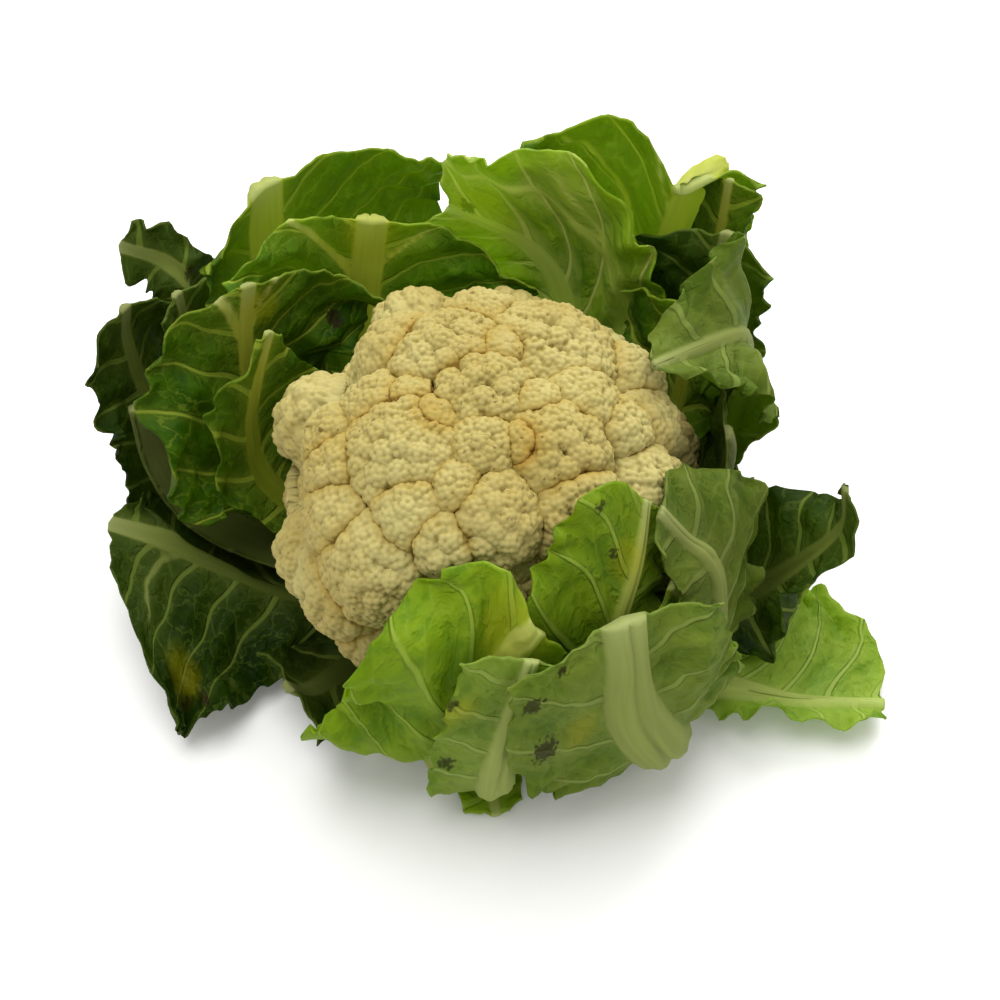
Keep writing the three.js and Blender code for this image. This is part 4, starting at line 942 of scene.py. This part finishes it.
def leaf_material(leaf, number, length, settings):
    """Blade, side veins, net, rib, cut end and stains of one leaf."""
    depth = leaf["depth"]
    spacing = settings.vein_spacing / MM
    shader = Shader(leaf["name"] + " skin")
    place = shader.node("UVMap", {"uv_map": "blade"})
    parts = shader.node("SeparateXYZ", None, {0: place})
    x, y = parts["X"], parts["Y"]
    inner = shader.attribute("inner")
    rib = shader.attribute("rib")

    phase = vein_phase(x, y, number, spacing, Value.sine)
    gap = abs((phase + 0.5).fraction() - 0.5) * (spacing * 0.82)
    half = 0.32 + 1.1 * (abs(y) / -20.0).exponential()
    vein = shader.ramp(gap - half, 0.4, -0.3)
    halo = shader.ramp(gap - half, 3.5, 0.0)
    broad = shader.noise(place, 0.04, 3.0)
    small = shader.noise(place, 0.25, 2.0, 0.6)
    bend = (small - 0.5) * 9.0
    local = shader.node("CombineXYZ", None, {0: phase * spacing + bend, 1: y * 0.85 - bend, 2: number})
    net = shader.net(local, 0.11)
    branches = shader.ramp(net, 0.04, 0.01)
    blister = shader.ramp(net, 0.0, 0.4) * (1.6 * inner - 0.8) * (1.0 - vein)
    streaks = shader.noise(shader.node("CombineXYZ", None, {0: x * 0.02, 1: y * 0.6}), 1.0, 2.0)

    # Painted light and shade of the whole leaf: all its colours are scaled by how much light the leaf is
    # painted as getting.
    shades = [paint(*c) for c in TINTS[leaf["tint"]]]
    inner_shade, inner_light, outer_shade, outer_light = (dim(shade, depth) for shade in shades[:4])
    vein_colour, rib_colour = (dim(shade, depth**0.6) for shade in shades[4:])
    # Patches of painted light and painted shade: each face goes from its colour in shade to its colour in
    # light.
    painted_light_patches = shader.ramp(0.6 * broad + 0.4 * small, 0.38, 0.6)
    outer_skin = shader.mix(painted_light_patches, outer_shade, outer_light)
    blade = shader.mix(inner, outer_skin, shader.mix(painted_light_patches, inner_shade, inner_light))
    near_rib = (rib / -7.0).exponential().clamped()
    for share in (near_rib * 0.35, halo * 0.12, branches * 0.28, vein * 0.85):
        blade = shader.mix(share, blade, vein_colour)
    rib_skin = shader.mix(shader.ramp(streaks, 0.35, 0.65) * 0.5, rib_colour, dim(rib_colour, 1.3))
    # Painted shade: on the inner face the rib turns from its pale colour to the blade's green towards its
    # foot.
    foot = shader.ramp(x, 0.95 * length, 0.5 * length) * inner
    rib_skin = shader.mix(foot * 0.6, rib_skin, inner_light)
    bare = shader.ramp(rib, 0.7, -0.9)
    blade = shader.mix(bare, blade, rib_skin)
    rim = shader.ramp(shader.attribute("edge"), 0.9, 0.2)
    blade = shader.mix(rim * 0.45, blade, vein_colour)
    blade = shader.mix(shader.attribute("cut") * 0.8, blade, dim(paint(190, 196, 126), depth**0.4))
    flush = shader.ramp(shader.attribute("flush") + (small - 0.5) * 0.5, 0.1, 0.8)
    blade = shader.mix(flush * 0.35, blade, dim(paint(184, 176, 12), depth**0.5))
    rough_edge = shader.attribute("stain") + (shader.noise(place, 0.7, 2.0) - 0.5) * 1.6
    blade = shader.mix(shader.ramp(rough_edge, 0.5, 0.62) * 0.85, blade, settings.stain)

    raised = (1.0 - 1.6 * inner) * (1.0 - bare)
    height = raised * vein * 0.8 + (1.0 - bare) * (0.5 * small + blister) + 0.2 * bare * streaks
    roughness = 0.54 - 0.08 * inner + 0.14 * (small - 0.5)
    light = dim(paint(176, 206, 14), depth)
    gloss = 0.13 * min(depth, 1)
    return shader.surface(blade, roughness, height, 0.0008, (settings.glow, light), Specular_IOR_Level=gloss)


class LeafSettings(bpy.types.PropertyGroup):
    """Sizes and colours of the leaves."""

    blade: length_property("Blade", "Thickness of the blades", 0.0009, 0.0006, 0.003)
    step: length_property("Step", "Length of the facets", 0.0014, 0.001, 0.02)
    vein_spacing: length_property("Vein spacing", "Distance between side veins", 0.02, 0.008, 0.06)
    glow: FloatProperty(
        name="Glow", description="Share of the light that passes through a blade", default=0.42, min=0, max=1
    )
    stain: colour_property("Stain", "Colour of bruises and dry spots", paint(48, 36, 18))


class HEAD_OT_leaves(bpy.types.Operator):
    """Make the leaves, from the innermost to the outermost"""

    bl_idname = "cauliflower.leaves"
    bl_label = "Make Leaves"

    def execute(self, context):
        settings = context.scene.cauliflower_leaves
        layers = LayerMap()
        step, blade = settings.step / MM, settings.blade / MM
        for number, leaf in enumerate(LEAVES, 1):
            shape = LeafShape(leaf, number, settings.vein_spacing / MM)
            s, across, out, inner, outer = lay_leaf(shape, layers, step, blade)
            points = np.concatenate([inner.reshape(-1, 3), outer.reshape(-1, 3)])
            layers.add(points)
            self.dress(leaf, number, shape, (s, across, out), points, settings)
        return {"FINISHED"}

    def dress(self, leaf, number, shape, grid, points, settings):
        """Makes the piece of one leaf and gives its points what the material reads."""
        s, across, out = grid
        length = shape.rib.length
        rib = shape.off_rib(s, across)
        width = np.where(out > 0, np.abs(across) / np.maximum(out, 1e-6), 1e3)
        edge = np.minimum(width * (1 - out), (1 - s) * length)
        values = {"rib": rib, "edge": edge, "cut": np.exp((s - 1) * length / CUT_FADE) * (rib < 0)}
        for kind in ("stain", "flush"):
            values[kind] = np.zeros(s.shape)
            for where, off, size in leaf[kind]:
                gap = np.hypot((s - where) * length, across - off) / size
                values[kind] = np.maximum(values[kind], np.exp(-gap * gap))
        values = {key: np.concatenate([v.ravel(), v.ravel()]) for key, v in values.items()}
        values["inner"] = np.concatenate([np.ones(s.size), np.zeros(s.size)])
        half_map = np.stack([(s * length).ravel(), across.ravel()], 1)
        faces = sheet_faces(*s.shape)
        piece = add_mesh(leaf["name"] + "_blade", points, faces, values, np.concatenate([half_map, half_map]))
        material = leaf_material(leaf, number, length, settings)
        finish_piece(piece, leaf["name"], "leaf_" + leaf["colour"], material)


# ---- stage ----


FLOOR_HALF = 60000.0  # half the floor's side, in millimetres, so that its edge is out of sight
CAMERA_PLACE = (0.00833, -0.34333, 0.47856)  # in metres
# Lights: name, place, height of the point on the axis that it faces, width, and share of the window's power.
LIGHTS = (("window", (0.35, 0.95, 1.05), 0.08, 0.9, 1.0), ("overhead", (-0.2, 0.05, 1.3), 0.1, 1.0, 0.7))


class StageSettings(bpy.types.PropertyGroup):
    """Floor, light and camera."""

    lens: FloatProperty(name="Lens", description="Focal length in millimetres", default=50.0, min=10, max=200)
    pitch: FloatProperty(
        name="Pitch", description="How far the camera looks down", default=math.radians(50), subtype="ANGLE"
    )
    window: FloatProperty(name="Window", description="Power of the light behind", default=15.0, unit="POWER")
    sky: FloatProperty(name="Sky", description="Strength of the light from all around", default=0.85, min=0)
    floor: colour_property("Floor", "Colour of the floor", (0.9, 0.9, 0.89))


class HEAD_OT_stage(bpy.types.Operator):
    """Make the floor, the lights and the camera"""

    bl_idname = "cauliflower.stage"
    bl_label = "Make Stage"

    def execute(self, context):
        settings = context.scene.cauliflower_stage
        shader = Shader("pale floor")
        place = shader.node("TexCoord", output="Object")
        grain = shader.noise(place, 60.0, 3.0)
        colour = shader.mix(grain, settings.floor, dim(settings.floor, 0.97))
        material = shader.surface(colour, 0.6 + 0.1 * grain, grain, 0.0001, Specular_IOR_Level=0.2)
        corners = FLOOR_HALF * np.array([(-1, -1, 0), (1, -1, 0), (1, 1, 0), (-1, 1, 0)])
        floor = add_mesh("floor", corners, [np.array([[0, 1, 2, 3]])], {})
        floor.data.materials.append(material)

        world = bpy.data.worlds.new("soft sky")
        world.use_nodes = True
        background = world.node_tree.nodes["Background"]
        background.inputs["Color"].default_value = (1.0, 0.99, 0.97, 1.0)
        background.inputs["Strength"].default_value = settings.sky
        context.scene.world = world
        for name, place, aim, size, share in LIGHTS:
            light = bpy.data.lights.new(name, "AREA")
            light.shape = "DISK"
            light.size = size
            light.energy = settings.window * share
            lamp = bpy.data.objects.new(name, light)
            context.scene.collection.objects.link(lamp)
            lamp.location = place
            x, y, z = place[0], place[1], place[2] - aim
            lamp.rotation_euler = (math.atan2(math.hypot(x, y), z), 0, math.atan2(y, x) + math.pi / 2)

        camera = bpy.data.cameras.new("camera")
        camera.lens = settings.lens
        eye = bpy.data.objects.new("camera", camera)
        context.scene.collection.objects.link(eye)
        eye.location = CAMERA_PLACE
        eye.rotation_euler = (math.pi / 2 - settings.pitch, 0, 0)
        context.scene.camera = eye
        context.scene.view_settings.view_transform = "Standard"
        return {"FINISHED"}


# ---- panel and registration ----

OPERATORS = (HEAD_OT_stage, HEAD_OT_curd, HEAD_OT_stem, HEAD_OT_leaves)
GROUPS = {
    "cauliflower_stage": StageSettings,
    "cauliflower_curd": CurdSettings,
    "cauliflower_stem": StemSettings,
    "cauliflower_leaves": LeafSettings,
}


class HEAD_PT_panel(bpy.types.Panel):
    """Sizes, colours and buttons of the cauliflower"""

    bl_idname = "HEAD_PT_panel"
    bl_label = "Cauliflower"
    bl_space_type = "VIEW_3D"
    bl_region_type = "UI"
    bl_category = "Cauliflower"

    def draw(self, context):
        for operator, name in zip(OPERATORS, GROUPS):
            box = self.layout.box()
            settings = getattr(context.scene, name)
            for key in type(settings).__annotations__:
                box.prop(settings, key)
            box.operator(operator.bl_idname)


def register():
    for group in GROUPS.values():
        bpy.utils.register_class(group)
    for name, group in GROUPS.items():
        setattr(bpy.types.Scene, name, PointerProperty(type=group))
    for operator in OPERATORS:
        bpy.utils.register_class(operator)
    bpy.utils.register_class(HEAD_PT_panel)


def unregister():
    bpy.utils.unregister_class(HEAD_PT_panel)
    for operator in OPERATORS:
        bpy.utils.unregister_class(operator)
    for name, group in GROUPS.items():
        delattr(bpy.types.Scene, name)
        bpy.utils.unregister_class(group)


def main():
    register()
    bpy.ops.cauliflower.stage()
    bpy.ops.cauliflower.curd()
    bpy.ops.cauliflower.stem()
    bpy.ops.cauliflower.leaves()


if __name__ == "__main__":
    main()
